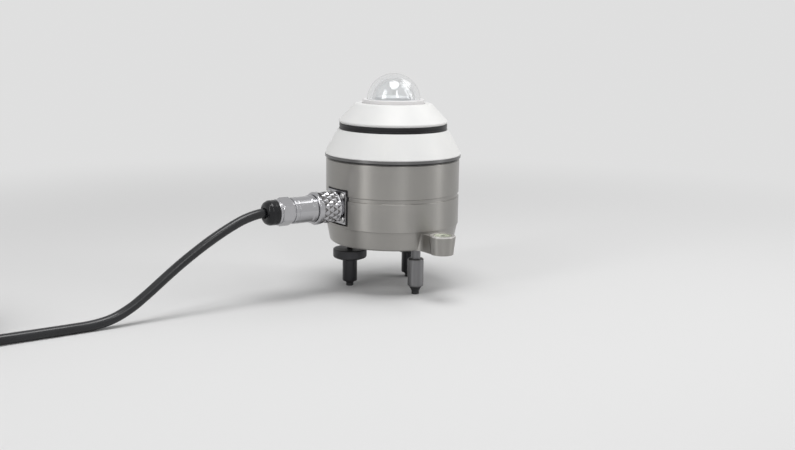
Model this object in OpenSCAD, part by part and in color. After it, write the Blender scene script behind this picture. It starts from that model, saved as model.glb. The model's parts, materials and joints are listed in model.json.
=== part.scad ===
// Thermopile pyranometer: two glass domes over a white diffuser, a two-part sun shade,
// a turned housing on three feet, and a plugged lead that is wound up beside it.
// The origin is on the vertical axis of the instrument, on the surface under the feet.
// +Z is up, the lead leaves along -X, and the level's ear points along -Y.

/* [Base] */
// Height of the underside of the base above the surface
foot_h = 34.2; // [31:0.1:38]
// How far the base's side draws in from its top to its underside
base_taper = 2.2; // [1.5:0.1:3]
// Step in from the housing to the top of the base
seam_in = 0.6; // [0.2:0.1:1.2]
// Thickness of the base
base_h = 12.7; // [11.5:0.1:15]
// Gap between the housing and the level in the ear
level_clear = 4.4; // [3:0.1:8]
// Radius of the ear's round end at its top
ear_top_r = 9; // [8.6:0.1:10]
// How far the ear's round end draws in from its top to its underside
ear_taper = 1.3; // [0.6:0.1:1.5]
// Radius of the hollow fillets that join the ear to the base
ear_fillet_r = 8; // [6:0.5:10]
// Step from the seam down to the ear's top
ear_step = 0.6; // [0.3:0.1:1.2]

/* [Mounting] */
// Radius of the circle that the three feet stand on
foot_circle_r = 30; // [28:0.5:32]
// Distance between the two threaded mounting holes
mount_pitch = 65; // [62:1:68]
// Radius of a threaded mounting hole
mount_thread_r = 2.1; // [1.6:0.1:2.5]
// Depth of a threaded mounting hole
mount_thread_depth = 9; // [6:0.5:9.5]

/* [Levelling feet] */
// Radius of the threaded stem of a levelling foot
stem_r = 2.1; // [1.9:0.1:2.6]
// Length of stem inside the base at rest
stem_grip = 8; // [7:0.5:8]
// Travel of a levelling foot upwards from rest
foot_up = 3; // [2:0.5:3]
// Radius of the levelling wheel
wheel_r = 12.1; // [10.5:0.1:13]
// Height of the rim of the levelling wheel
wheel_h = 5.9; // [4:0.1:7]
// Gap between the wheel and the base at rest
wheel_gap = 6.9; // [5:0.1:8]
// Height of the chamfer under the wheel
wheel_chamfer = 2.1; // [1:0.1:2.5]
// Radius of the post of a levelling foot
level_post_r = 5.25; // [4.5:0.05:6]
// Radius of each foot's tip
tip_r = 2.6; // [2.2:0.1:3]
// Height of each foot's tip
tip_h = 2.2; // [1.8:0.1:2.6]

/* [Fixed foot] */
// Radius of the stud of the fixed foot
stud_r = 3.2; // [2.8:0.1:3.6]
// Radius of the post of the fixed foot
fixed_post_r = 5.6; // [5:0.1:6.5]
// Height of the fixed post's lower end above the surface
fixed_post_low_z = 5.6; // [5:0.1:7]
// Length of bare stud between the fixed post and the base
fixed_stud_l = 8.6; // [6:0.1:12]

/* [Housing] */
// Radius of the housing
housing_r = 47.2; // [47:0.1:47.8]
// Height of the housing
housing_h = 46.5; // [45:0.1:52]
// Wall of the housing
housing_wall = 8.2; // [7.7:0.1:9.2]
// Thickness of the housing's deck
deck_t = 5; // [4:0.5:7]
// Height of the groove above the seam
groove_up = 19.9; // [18:0.1:21]
// Width of the groove
groove_w = 3.2; // [2:0.1:4]
// Depth of the groove
groove_depth = 0.8; // [0.4:0.1:1.2]

/* [Head] */
// How far the head's rim stands out past the housing
rim_out = 0.8; // [0.4:0.1:1.8]
// Thickness of the rim
rim_t = 1.9; // [1.5:0.1:3]
// Thickness of the dark gasket under the rim
rim_gasket_t = 0.9; // [0.6:0.1:1.5]
// Step in from the collar to the neck under it
neck_in = 0.4; // [0.3:0.1:1.2]
// Step in from the rim to the foot of the neck
neck_foot_in = 14; // [13.5:0.5:15]

/* [Sun shade] */
// Height of the lower shade
lower_h = 17.2; // [15:0.1:20]
// How far the lower shade's top stands out past the dark band
lower_lip = 1; // [0.8:0.1:2]
// Height of the dark band
band_h = 4.1; // [3:0.1:6]
// Step in from the shade's foot to the dark band
band_in = 10; // [9:0.1:11]
// Height of the upper shade
upper_h = 14.2; // [12:0.1:17]
// How far the upper shade's edge stands out past the dark band
upper_lip = 0.7; // [0.3:0.1:1.5]
// Width of the upper shade's flat top
upper_ledge = 5.2; // [4.5:0.1:7.5]
// Wall of the shades
shade_wall = 2.2; // [1.6:0.1:2.8]
// Gap between the collar and the shade round it
shade_hole_gap = 0.5; // [0.4:0.1:1]

/* [Domes] */
// Ledge of the white collar outside the outer dome
collar_ledge = 2.85; // [2.4:0.05:3.2]
// Height of the collar above the shade
collar_h = 2.6; // [2:0.1:4]
// Outer radius of the outer dome
outer_dome_r = 18.85; // [18.3:0.05:19.3]
// Wall of the outer dome
outer_dome_wall = 2; // [1.2:0.1:2.2]
// Gap between the two domes
dome_gap = 1.85; // [1.2:0.05:2]
// Wall of the inner dome
inner_dome_wall = 1.6; // [1:0.1:1.7]
// Height of the white holder above the collar
holder_up = 1.9; // [1.2:0.1:2.4]
// Radius of the diffuser, as a share of the holder's
diffuser_share = 0.62; // [0.56:0.01:0.66]
// Thickness of the diffuser
diffuser_t = 2.7; // [2:0.1:3.2]

/* [Socket and plug] */
// Height of the socket's axis above the seam
socket_up = 15.1; // [14.5:0.1:17]
// Depth of the flat behind the socket
flat_depth = 3.2; // [2.8:0.1:3.6]
// Side of the square gasket
gasket_side = 24; // [23:0.5:24.5]
// Margin of the gasket round the flange
gasket_margin = 0.7; // [0.4:0.1:1.2]
// Radius of the coupling ring over its knurl
ring_r = 10.95; // [10.6:0.05:11.2]
// Step in from the coupling ring to the plug's sleeve
sleeve_in = 1.4; // [1:0.05:1.5]
// Step between the two diameters of the sleeve
sleeve_step = 0.55; // [0.2:0.05:0.9]
// Size across the flats of the back nut
nut_flats = 17; // [16.5:0.5:18]
// Step in from the clamp ring to the cable boot
boot_in = 0.35; // [0.1:0.05:0.8]

/* [Cable] */
// Diameter of the cable
cable_d = 6.5; // [6:0.1:6.7]

/* [Hidden] */
$fn = 72;

// Overrun of a cut past the face that it opens
cut = 1;
// Clearance round a piece that fits in another
fit = 0.05;
// Room past the end of a screw or stem in its bore
bore_end_gap = 0.2;
// Room round a sunk screw's head
head_fit = 0.2;
// Gap that keeps a soft or loose piece off its neighbour
soft_gap = 0.3;

// Heights of the stack, from the surface up
seam_z = foot_h + base_h;
deck_z = seam_z + housing_h;
rim_z = deck_z + rim_gasket_t;
shade_z = rim_z + rim_t;
band_z = shade_z + lower_h;
upper_z = band_z + band_h;
top_z = upper_z + upper_h;
collar_z = top_z + collar_h;
ear_z = seam_z - ear_step;
socket_z = seam_z + socket_up;

// Base
base_top_r = housing_r - seam_in;
base_bottom_r = base_top_r - base_taper;
base_edge = 1;
level_rim_in = 0.6;
level_flange_r = ear_top_r - level_rim_in;
ear_reach = housing_r + level_clear + level_flange_r;
ear_bottom_r = ear_top_r - ear_taper;
ear_neck_share = 0.9;
ear_blend_in = 1.6;
ear_neck_w = 2 * ear_bottom_r * ear_neck_share;
foot_angles = [150, 30];
fixed_angle = 270;
foot_bore_depth = stem_grip + foot_up + bore_end_gap;
housing_bore_r = housing_r - housing_wall;
screw_circle_in = 1;
screw_circle_r = housing_bore_r - screw_circle_in;
screw_angles = [90, 210, 330];
base_screw_r = 1.75;
base_screw_head_r = 3.2;
base_screw_head_h = 2.6;
base_screw_l = 14;
screw_sink = 3.4;
oring_in = 3.6;
oring_r = housing_r - oring_in;
oring_w = 1.8;
oring_depth = 1.3;

// Housing
boss_r = 4.6;
boss_h = 13;
housing_edge = 0.8;
pocket_extra = 0.5;

// Head
rim_r = housing_r + rim_out;
spigot_in = 9.2;
spigot_r = housing_bore_r - spigot_in;
spigot_wall = 4.3;
deck_bore_r = spigot_r + fit;
head_bore_r = spigot_r - spigot_wall;
head_wall = 4;
neck_foot_r = rim_r - neck_foot_in;
rim_gasket_inset = 0.8;
neck_foot_h = 7;
neck_cone_h = 12;
collar_skirt = 4.4;
neck_z = top_z - collar_skirt;
head_screw_circle_out = 0.5;
head_screw_circle_r = housing_bore_r + head_screw_circle_out;
head_screw_angles = [0, 120, 240];
head_screw_r = 1.45;
head_screw_head_r = 2.7;
head_screw_head_h = 1.7;
head_screw_l = 6;

// Shades
lower_low_r = rim_r;
band_r = rim_r - band_in;
lower_top_r = band_r + lower_lip;
upper_low_r = band_r + upper_lip;
upper_edge_r = 1.5;
upper_corner_r = 2.2;
lap_wall = 1.4;

// Domes and sensor
collar_r = outer_dome_r + collar_ledge;
neck_r = collar_r - neck_in;
shade_hole_r = collar_r + shade_hole_gap;
upper_top_r = shade_hole_r + upper_ledge;
inner_dome_r = outer_dome_r - outer_dome_wall - dome_gap;
neck_bore_out = 0.1;
neck_bore_r = inner_dome_r + neck_bore_out;
outer_seat_depth = 2;
inner_seat_depth = 1.7;
seal_h = 0.5;
dome_skirt = 0.7;
holder_z = collar_z + holder_up;
holder_gap = 0.5;
holder_r = inner_dome_r - inner_dome_wall - holder_gap;
holder_edge = 0.5;
holder_screw_in = 1.6;
holder_screw_circle_r = holder_r - holder_screw_in;
holder_screw_angles = [175, 295, 55];
holder_screw_r = 0.75;
holder_screw_head_r = 1.25;
holder_screw_head_h = 0.7;
holder_pocket_r = 1.75;
holder_pocket_depth = 1.3;
holder_screw_l = 3;
diffuser_r = holder_r * diffuser_share;
diffuser_rise = 0.3;
diffuser_edge = 0.4;
diffuser_ledge = 1.4;
pile_share = 0.65;
pile_r = diffuser_r * pile_share;
pile_t = 1.2;
pile_gap = 0.9;
sink_h = 11;
lead_bore_r = 2.4;
thermistor_r = 1.3;
thermistor_l = 5;
thermistor_x = 8;

// Circuit board
board_gap = 2;
board_r = housing_bore_r - board_gap;
board_t = 1.6;
board_drop = 11;
board_z = deck_z - deck_t - board_drop - board_t;
post_circle_in = 2.6;
post_circle_r = board_r - post_circle_in;
post_angles = [60, 180, 300];
post_r = 2.4;
board_screw_r = 1.25;
board_screw_head_r = 2.3;
board_screw_head_h = 1.5;
board_screw_l = 6;
chip_h = 1.8;
chip_sizes = [9, 7, 5, 6];
chip_place_shares = [[0.32, 0.3], [-0.34, 0.42], [0.55, -0.2], [-0.12, -0.52]];
capacitor_r = 3;
capacitor_h = 6.5;
capacitor_place_shares = [[-0.5, -0.3], [0.22, -0.6]];
header_w = 9;
header_d = 5;
header_h = 4.5;
header_x = -16;

// Desiccant
desiccant_r = 16;
desiccant_h = 9;
desiccant_seat = 1;

// Level
level_lip = 1.4;
level_r = level_flange_r - level_lip;
level_depth = 6;
level_flange_t = 0.8;
level_wall = 0.9;
level_glass_t = 1.4;
level_floor = 1;
bubble_r = 2.1;
bubble_h = 0.7;

// Feet
wheel_top_z = foot_h - wheel_gap;
fixed_post_top_z = foot_h - fixed_stud_l;
level_cone = 1.6;
pin_r = tip_r / 2;
pin_l = 4;
play = 0.1;
tip_cone_in = 1.2;
tip_cone_r = fixed_post_r - tip_cone_in;

// Socket
flat_x = housing_r - flat_depth;
gasket_t = 1.4;
flange_t = 1.6;
flange_side = gasket_side - 2 * gasket_margin;
flange_screw_in = 3.1;
flange_pitch = flange_side - 2 * flange_screw_in;
flange_screw_r = 1.15;
flange_screw_head_r = 2.15;
flange_screw_head_h = 1.4;
flange_screw_l = 5.5;
ring_wall = 2.05;
barrel_r = ring_r - ring_wall;
barrel_wall = 1.4;
barrel_bore_r = barrel_r - barrel_wall;
barrel_step = 0.5;
socket_bore_r = barrel_r - barrel_step;
barrel_l = 13.6;
barrel_tail = 9;
barrel_back_x = flat_x - barrel_tail;
barrel_front_x = flat_x + gasket_t + barrel_l;
insert_tail = 2;
socket_insert_back_x = barrel_back_x - insert_tail;
socket_insert_front_x = flat_x + insert_tail;
pin_circle_in = 2.9;
pin_circle_r = barrel_bore_r - pin_circle_in;
pin_count = 7;
contact_r = 0.6;
contact_l = 7;
contact_tail = 3;
contact_front_x = socket_insert_front_x + contact_l;
contact_back_x = socket_insert_back_x - contact_tail;

// Plug
ring_start_x = flat_x + gasket_t + flange_t + flange_screw_head_h + soft_gap;
knurl_l = 13.3;
ring_knurl_x = ring_start_x + knurl_l;
ring_rim_l = 4;
ring_end_x = ring_knurl_x + ring_rim_l;
ring_rim_out = 0.35;
ring_rim_r = ring_r + ring_rim_out;
knurl_depth = 0.55;
knurl_rows = 4;
knurl_columns = 26;
knurl_cut_w = 0.9;
ring_back_bore_r = barrel_r - barrel_step;
ring_web_t = 5.8;
ring_web_x = ring_end_x - ring_web_t;
sleeve_front_r = ring_r - sleeve_in;
sleeve_back_r = sleeve_front_r - sleeve_step;
sleeve_l = 16.7;
sleeve_front_l = 2.7;
sleeve_start_x = ring_end_x + soft_gap;
sleeve_end_x = sleeve_start_x + sleeve_l;
sleeve_step_x = sleeve_start_x + sleeve_front_l;
sleeve_bore_r = 5.2;
skirt_r = barrel_bore_r - fit;
skirt_wall = 1.1;
skirt_gap = 3;
skirt_end_gap = 0.4;
skirt_front_x = socket_insert_front_x + skirt_gap;
skirt_back_x = barrel_front_x + skirt_end_gap;
plug_insert_in = 0.5;
plug_insert_out = 0.6;
plug_insert_front_x = skirt_front_x + plug_insert_in;
plug_insert_back_x = skirt_back_x + plug_insert_out;
nut_l = 9.6;
nut_end_x = sleeve_end_x + nut_l;
nut_chamfer = 0.9;
nut_neck_in = 0.3;
nut_neck_r = nut_flats / 2 - nut_neck_in;
nut_neck = 1.2;
clamp_t = 1.8;
clamp_end_x = nut_end_x + clamp_t;
clamp_out = 0.35;
clamp_r = nut_flats / 2 + clamp_out;
boot_r = clamp_r - boot_in;
boot_l = 8.6;
boot_end_x = clamp_end_x + boot_l;
boot_round = 4;
boot_recess = 3;
cable_fit = 0.12;

// Cable: points of the free stretch as distance from the axis along the lead, then height
cable_route = [
    [100, 62], [107, 62], [118, 59.3], [130, 54.1], [142, 47.8], [153, 41.2], [164, 34],
    [175, 26.1], [186, 18], [197, 10.8], [209, 5.6], [222, 3.5], [236, 3.25], [252, 3.25],
    [268, 3.3], [284, 3.5], [300, 3.8], [315, 4.2], [323.5, 4.25]
];
cable_sides = 8;
coil_sides = 6;
coil_steps = 24;

// Coil: it starts where the free stretch ends, runs straight for a diameter and turns clockwise
coil_start = cable_route[len(cable_route) - 1];
coil_start_r = 55;
coil_pitch = 7.1;
coil_rise = 7;
coil_turns_a_layer = 5;
coil_turns = 19.25;
coil_centre = [-coil_start[0] - cable_d, coil_start_r];

// Ties round the coil
tie_angles = [90, 225, 330];
tie_w = 5;
tie_t = 0.7;
tie_head = 4.5;
tie_head_t = 2.2;

// Bare leads at the end of the coil
lead_sleeve_r = 3.6;
lead_sleeve_l = 12;
lead_count = 5;
lead_r = 0.8;
lead_l = 20;
lead_fan = 1.9;
lead_drop = 2.2;
lead_steps = 6;
ferrule_r = 0.65;
ferrule_l = 6;

function unit(v) = v / norm(v);
function run_length(p) =
    len(p) < 2 ? 0 : sum_steps(p, len(p) - 2);
function sum_steps(p, i) =
    i < 0 ? 0 : norm(p[i + 1] - p[i]) + sum_steps(p, i - 1);
function tangent(p, i) = unit(p[min(i + 1, len(p) - 1)] - p[max(i - 1, 0)]);
function side_of(t) = unit(cross(t, abs(t[2]) > 0.99 ? [-1, 0, 0] : [0, 0, 1]));
function section(p, t, r, sides) =
    [for (j = [0:sides - 1])
        let (a = 360 * (j + 0.5) / sides)
        p + r * (cos(a) * side_of(t) + sin(a) * cross(side_of(t), t))];

// Radius of the coil after t turns, in pitches in from its first turn
function coil_steps_in(t) =
    let (n = coil_turns_a_layer, u = t - 2 * n * floor(t / (2 * n)))
    u <= n - 0.25 ? u : u <= 2 * n - 0.25 ? 2 * n - 0.5 - u : u - 2 * n;
function coil_r(t) = coil_start_r - coil_pitch * coil_steps_in(t);
// Height of the coil after t turns, which climbs a layer in the last half turn of each
function coil_z(t) =
    let (n = coil_turns_a_layer, k = floor(t / n))
    coil_start[1] + coil_rise * (k + max(0, 2 * (t - k * n - n) + 1));
function coil_angle(t) = -90 - 360 * t;
function coil_point(t) =
    [coil_centre[0] + coil_r(t) * cos(coil_angle(t)),
     coil_centre[1] + coil_r(t) * sin(coil_angle(t)),
     coil_z(t)];
// Radius and height of all turns at one place, a share of a turn after the start
function coil_section(share) =
    [for (k = [0:coil_turns - share]) [coil_r(k + share), coil_z(k + share)]];
coil_turn_points = [for (i = [0:coil_turns * coil_steps]) coil_point(i / coil_steps)];
cable_points = [for (p = cable_route) [-p[0], 0, p[1]]];

// Both ends of the coil run straight for one diameter, along the turn that they meet
lead_end_angle = coil_angle(coil_turns);
lead_end_at = coil_turn_points[len(coil_turn_points) - 1]
    + cable_d * [cos(lead_end_angle - 90), sin(lead_end_angle - 90), 0];
coil_points = concat([cable_points[len(cable_points) - 1]], coil_turn_points, [lead_end_at]);

// Least distance between the surfaces of turns that are at least half a turn apart
coil_gap = min([for (i = [0:len(coil_points) - 1], j = [i + coil_steps / 2:len(coil_points) - 1])
    norm(coil_points[i] - coil_points[j])]) - cable_d;
echo(coil_gap = coil_gap, cable_length = run_length(cable_points) + run_length(coil_points));

// A cylinder from one height to another
module disc(r, low, high) {
    translate([0, 0, low])
        cylinder(r = r, h = high - low);
}

// A ring from one height to another
module ring(outer, inner, low, high) {
    difference() {
        disc(outer, low, high);
        disc(inner, low - cut, high + cut);
    }
}

// A turned piece from its half section
module turned(points) {
    rotate_extrude()
        polygon(points);
}

// Copies at a radius, at each of the angles
module around(r, angles) {
    for (a = angles)
        rotate([0, 0, a])
            translate([r, 0, 0])
                children();
}

// Turns a piece made along +Z to lie along the socket's axis, with Z as the distance from the axis
module on_socket() {
    translate([0, 0, socket_z])
        rotate([0, -90, 0])
            children();
}

// The four corners of the socket's flange
module at_flange_corners() {
    for (x = [-1, 1], y = [-1, 1])
        translate([x * flange_pitch / 2, y * flange_pitch / 2, 0])
            children();
}

// Screw with its head above zero, a cross recess in it and its shank below
module cross_screw(head_r, head_h, shank_r, shank_l) {
    recess_w = head_r * 0.28;
    difference() {
        union() {
            disc(head_r, 0, head_h);
            disc(shank_r, -shank_l, 0);
        }
        for (a = [0, 90])
            rotate([0, 0, a])
                translate([-head_r * 0.6, -recess_w / 2, head_h * 0.4])
                    cube([head_r * 1.2, recess_w, head_h]);
    }
}

// Tube along points, closed at both ends
module swept(p, r, sides) {
    n = len(p);
    rings = [for (i = [0:n - 1]) each section(p[i], tangent(p, i), r, sides)];
    walls = [for (i = [0:n - 2], j = [0:sides - 1])
        let (a = i * sides + j, b = i * sides + (j + 1) % sides)
        each [[a, b, a + sides], [b, b + sides, a + sides]]];
    start = [for (j = [1:sides - 2]) [0, j + 1, j]];
    finish = [for (j = [1:sides - 2]) [0, j, j + 1] + (n - 1) * sides * [1, 1, 1]];
    polyhedron(rings, concat(walls, start, finish), convexity = 10);
}

// Outline of the ear from above, with its hollow fillets; the round end is added apart
module ear_outline(r) {
    half = ear_neck_w / 2;
    f = ear_fillet_r;
    out = sqrt(pow(r + f, 2) - pow(half + f, 2));
    touch = r / (r + f);
    for (s = [-1, 1])
        difference() {
            polygon([[0, -r / 2], [s * (half + f) * touch, -out * touch],
                     [s * (half + f), -out], [0, -out]]);
            translate([s * (half + f), -out])
                circle(r = f);
        }
    translate([-half, -ear_reach])
        square([ear_neck_w, ear_reach - r / 2]);
}

module base_plate() {
    color("#b9b6ae")
        difference() {
            union() {
                turned([[0, foot_h], [base_bottom_r - base_edge, foot_h],
                        [base_bottom_r, foot_h + base_edge], [base_top_r, seam_z], [0, seam_z]]);
                translate([0, 0, foot_h])
                    linear_extrude(ear_z - foot_h)
                        ear_outline(base_bottom_r - ear_blend_in);
                translate([0, -ear_reach, foot_h])
                    cylinder(r1 = ear_bottom_r, r2 = ear_top_r, h = ear_z - foot_h);
            }
            // Seat of the gasket under the housing
            ring(oring_r + oring_w / 2 + fit, oring_r - oring_w / 2 - fit,
                 seam_z - oring_depth, seam_z + cut);
            // Threads of the levelling feet
            around(foot_circle_r, foot_angles)
                disc(stem_r + fit, foot_h - cut, foot_h + foot_bore_depth);
            // Thread of the fixed foot
            around(foot_circle_r, [fixed_angle])
                disc(stud_r + fit, foot_h - cut, foot_h + stem_grip);
            // Threaded mounting holes
            for (x = [-1, 1])
                translate([x * mount_pitch / 2, 0, 0])
                    disc(mount_thread_r, foot_h - cut, foot_h + mount_thread_depth);
            // Sunk holes of the base screws
            around(screw_circle_r, screw_angles) {
                disc(base_screw_head_r + head_fit, foot_h - cut, foot_h + screw_sink);
                disc(base_screw_r + fit, foot_h, seam_z + cut);
            }
            // Seat of the desiccant
            disc(desiccant_r + fit, seam_z - desiccant_seat, seam_z + cut);
            // Seat of the level
            translate([0, -ear_reach, 0])
                disc(level_r + fit, ear_z - level_depth, ear_z + cut);
        }
}

module base_gasket() {
    color("#1c1c1c")
        ring(oring_r + oring_w / 2, oring_r - oring_w / 2, seam_z - oring_depth, seam_z);
}

module base_screws() {
    color("#c9c9c9")
        around(screw_circle_r, screw_angles)
            translate([0, 0, foot_h + screw_sink])
                mirror([0, 0, 1])
                    cross_screw(base_screw_head_r, base_screw_head_h, base_screw_r, base_screw_l);
}

module housing() {
    groove_low = seam_z + groove_up;
    groove_high = groove_low + groove_w;
    lip = groove_depth / 2;
    color("#b4b1aa")
        difference() {
            turned([[0, seam_z], [housing_r - housing_edge / 2, seam_z],
                    [housing_r, seam_z + housing_edge],
                    [housing_r, groove_low],
                    [housing_r - groove_depth, groove_low + lip],
                    [housing_r - groove_depth, groove_high - lip],
                    [housing_r, groove_high],
                    [housing_r, deck_z - housing_edge],
                    [housing_r - housing_edge, deck_z], [0, deck_z]]);
            // Bore, with the bosses of the base screws left standing in it
            difference() {
                disc(housing_bore_r, seam_z - cut, deck_z - deck_t);
                around(screw_circle_r - boss_r / 4, screw_angles)
                    disc(boss_r, seam_z - 2 * cut, seam_z + boss_h);
            }
            disc(deck_bore_r, deck_z - deck_t - cut, deck_z + cut);
            around(screw_circle_r, screw_angles)
                disc(base_screw_r + fit, seam_z - cut,
                     foot_h + screw_sink + base_screw_l + bore_end_gap);
            around(head_screw_circle_r, head_screw_angles)
                disc(head_screw_r + fit, deck_z - deck_t - cut, deck_z + cut);
            around(post_circle_r, post_angles)
                disc(board_screw_r + fit, deck_z - deck_t - cut, deck_z - deck_t / 2);
            // Flat and bore of the socket
            on_socket() {
                translate([-gasket_side / 2 - pocket_extra, -gasket_side / 2 - pocket_extra, flat_x])
                    cube([gasket_side + 2 * pocket_extra, gasket_side + 2 * pocket_extra,
                          housing_r - flat_x + cut]);
                disc(socket_bore_r, 0, housing_r + cut);
                at_flange_corners()
                    disc(flange_screw_r + fit, 0, housing_r + cut);
            }
        }
}

module rim_gasket() {
    color("#15161a")
        difference() {
            ring(housing_r - rim_gasket_inset, spigot_r + fit, deck_z, rim_z);
            around(head_screw_circle_r, head_screw_angles)
                disc(head_screw_r + fit, deck_z - cut, rim_z + cut);
        }
}

module head() {
    neck_low = shade_z + neck_foot_h;
    neck_high = neck_low + neck_cone_h;
    spigot_low = deck_z - deck_t;
    sink_low = neck_z - sink_h;
    color("#c2c0ba")
        difference() {
            turned([[head_bore_r, spigot_low], [spigot_r, spigot_low], [spigot_r, rim_z],
                    [rim_r, rim_z], [rim_r, shade_z], [neck_foot_r, shade_z],
                    [neck_foot_r, neck_low], [neck_r, neck_high], [neck_r, neck_z],
                    [neck_bore_r, neck_z], [neck_bore_r, sink_low],
                    [neck_bore_r - head_wall / 2, sink_low],
                    [neck_bore_r - head_wall / 2, neck_high - head_wall],
                    [head_bore_r, neck_low]]);
            around(head_screw_circle_r, head_screw_angles)
                disc(head_screw_r + fit, rim_z - cut, shade_z + cut);
        }
}

module head_screws() {
    color("#c9c9c9")
        around(head_screw_circle_r, head_screw_angles)
            translate([0, 0, shade_z])
                cross_screw(head_screw_head_r, head_screw_head_h, head_screw_r, head_screw_l);
}

// Wall of the lower shade slopes in from its foot to its top
module lower_shade() {
    w = shade_wall;
    slope = (lower_low_r - lower_top_r) / lower_h;
    color("#f1f0ec")
        turned([[lower_low_r - w, shade_z], [lower_low_r, shade_z],
                [lower_low_r, shade_z + w / 4], [lower_top_r, band_z],
                [band_r - w - lap_wall, band_z], [band_r - w - lap_wall, band_z - w],
                [lower_top_r - w, band_z - w * 1.5]]);
}

module shade_band() {
    w = shade_wall;
    color("#17181b")
        turned([[band_r - w - lap_wall, band_z], [band_r, band_z], [band_r, upper_z],
                [band_r - w - lap_wall, upper_z]]);
}

module upper_shade() {
    w = shade_wall;
    e = upper_edge_r;
    c = upper_corner_r;
    rise = upper_h - c - e;
    run = upper_low_r - upper_top_r;
    color("#f4f3ef")
        rotate_extrude()
            difference() {
                union() {
                    polygon([[shade_hole_r, upper_z], [upper_low_r - e, upper_z],
                             [upper_low_r, upper_z + e], [upper_top_r + c * 0.4, top_z - c * 0.6],
                             [upper_top_r - c * 0.5, top_z], [shade_hole_r, top_z]]);
                    translate([upper_low_r - e, upper_z + e])
                        circle(r = e);
                }
                polygon([[0, upper_z - cut], [band_r - w - lap_wall, upper_z - cut],
                         [band_r - w - lap_wall, upper_z + w],
                         [upper_top_r - w * 1.2, top_z - w * 1.2],
                         [0, top_z - w * 1.2]]);
            }
}

module dome_collar() {
    outer_seat_r = outer_dome_r + fit;
    inner_seat_r = outer_dome_r - outer_dome_wall - fit;
    seat_z = collar_z - outer_seat_depth;
    color("#f2f1ee")
        difference() {
            turned([[holder_r + fit, neck_z], [collar_r, neck_z],
                    [collar_r, collar_z - base_edge / 4],
                    [collar_r - base_edge / 4, collar_z], [holder_r + fit, collar_z]]);
            ring(outer_seat_r, inner_seat_r, seat_z, collar_z + cut);
            disc(inner_dome_r + fit, collar_z - inner_seat_depth, collar_z + cut);
        }
}

// Glass dome: a half ball with a short straight skirt below its centre
module glass_dome(r, wall, centre_z) {
    difference() {
        union() {
            intersection() {
                translate([0, 0, centre_z])
                    sphere(r = r);
                disc(r + cut, centre_z, centre_z + r + cut);
            }
            disc(r, centre_z - dome_skirt, centre_z);
        }
        translate([0, 0, centre_z])
            sphere(r = r - wall);
        disc(r - wall, centre_z - dome_skirt - cut, centre_z);
    }
}

module outer_dome() {
    color([0.85, 0.93, 0.97, 0.35])
        glass_dome(outer_dome_r, outer_dome_wall, collar_z - outer_seat_depth + seal_h + dome_skirt);
}

module inner_dome() {
    color([0.85, 0.93, 0.97, 0.35])
        glass_dome(inner_dome_r, inner_dome_wall, collar_z - inner_seat_depth + seal_h + dome_skirt);
}

// Beds of the domes
module dome_seals() {
    color("#e4e4e0") {
        ring(outer_dome_r, outer_dome_r - outer_dome_wall,
             collar_z - outer_seat_depth, collar_z - outer_seat_depth + seal_h);
        ring(inner_dome_r, inner_dome_r - inner_dome_wall,
             collar_z - inner_seat_depth, collar_z - inner_seat_depth + seal_h);
    }
}

module sensor_holder() {
    ledge_z = holder_z + diffuser_rise - diffuser_t;
    color("#f7f6f3")
        difference() {
            turned([[diffuser_r - diffuser_ledge, neck_z], [holder_r, neck_z],
                    [holder_r, holder_z - holder_edge], [holder_r - holder_edge, holder_z],
                    [diffuser_r + fit, holder_z], [diffuser_r + fit, ledge_z],
                    [diffuser_r - diffuser_ledge, ledge_z]]);
            around(holder_screw_circle_r, holder_screw_angles) {
                disc(holder_pocket_r, holder_z - holder_pocket_depth, holder_z + cut);
                disc(holder_screw_r + fit,
                     holder_z - holder_pocket_depth - holder_screw_l - bore_end_gap, holder_z);
            }
        }
}

module holder_screws() {
    color("#8f9093")
        around(holder_screw_circle_r, holder_screw_angles)
            translate([0, 0, holder_z - holder_pocket_depth])
                cross_screw(holder_screw_head_r, holder_screw_head_h, holder_screw_r,
                            holder_screw_l);
}

module diffuser() {
    high = holder_z + diffuser_rise;
    color("#fbfbf8")
        turned([[0, high - diffuser_t], [diffuser_r, high - diffuser_t],
                [diffuser_r, high - diffuser_edge], [diffuser_r - diffuser_edge, high], [0, high]]);
}

pile_z = holder_z + diffuser_rise - diffuser_t - pile_gap - pile_t;

module thermopile() {
    color("#101010")
        disc(pile_r, pile_z, pile_z + pile_t);
}

module heat_sink() {
    color("#a9abad")
        difference() {
            union() {
                disc(neck_bore_r - fit, neck_z - sink_h, neck_z);
                disc(pile_r + diffuser_edge, neck_z, pile_z);
            }
            disc(lead_bore_r, neck_z - sink_h - cut, pile_z - diffuser_edge);
            translate([thermistor_x, 0, 0])
                disc(thermistor_r + fit, neck_z - sink_h - cut, neck_z - sink_h + thermistor_l);
        }
}

module thermistor() {
    color("#3a4a3c")
        translate([thermistor_x, 0, 0])
            disc(thermistor_r, neck_z - sink_h - thermistor_l, neck_z - sink_h + thermistor_l);
}

// Leads from the sensor straight down to the board
module sensor_leads() {
    high = pile_z - diffuser_edge;
    low = board_z + board_t + header_h;
    color("#b03a2e") {
        for (s = [-1, 1])
            translate([s * lead_bore_r / 2, 0, 0])
                disc(lead_r, low, high);
        translate([thermistor_x, 0, 0])
            disc(lead_r, board_z + board_t, neck_z - sink_h - thermistor_l);
    }
}

module circuit_board() {
    color("#1f5a3a")
        difference() {
            disc(board_r, board_z, board_z + board_t);
            around(post_circle_r, post_angles)
                disc(board_screw_r + fit, board_z - cut, board_z + board_t + cut);
        }
}

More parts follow.
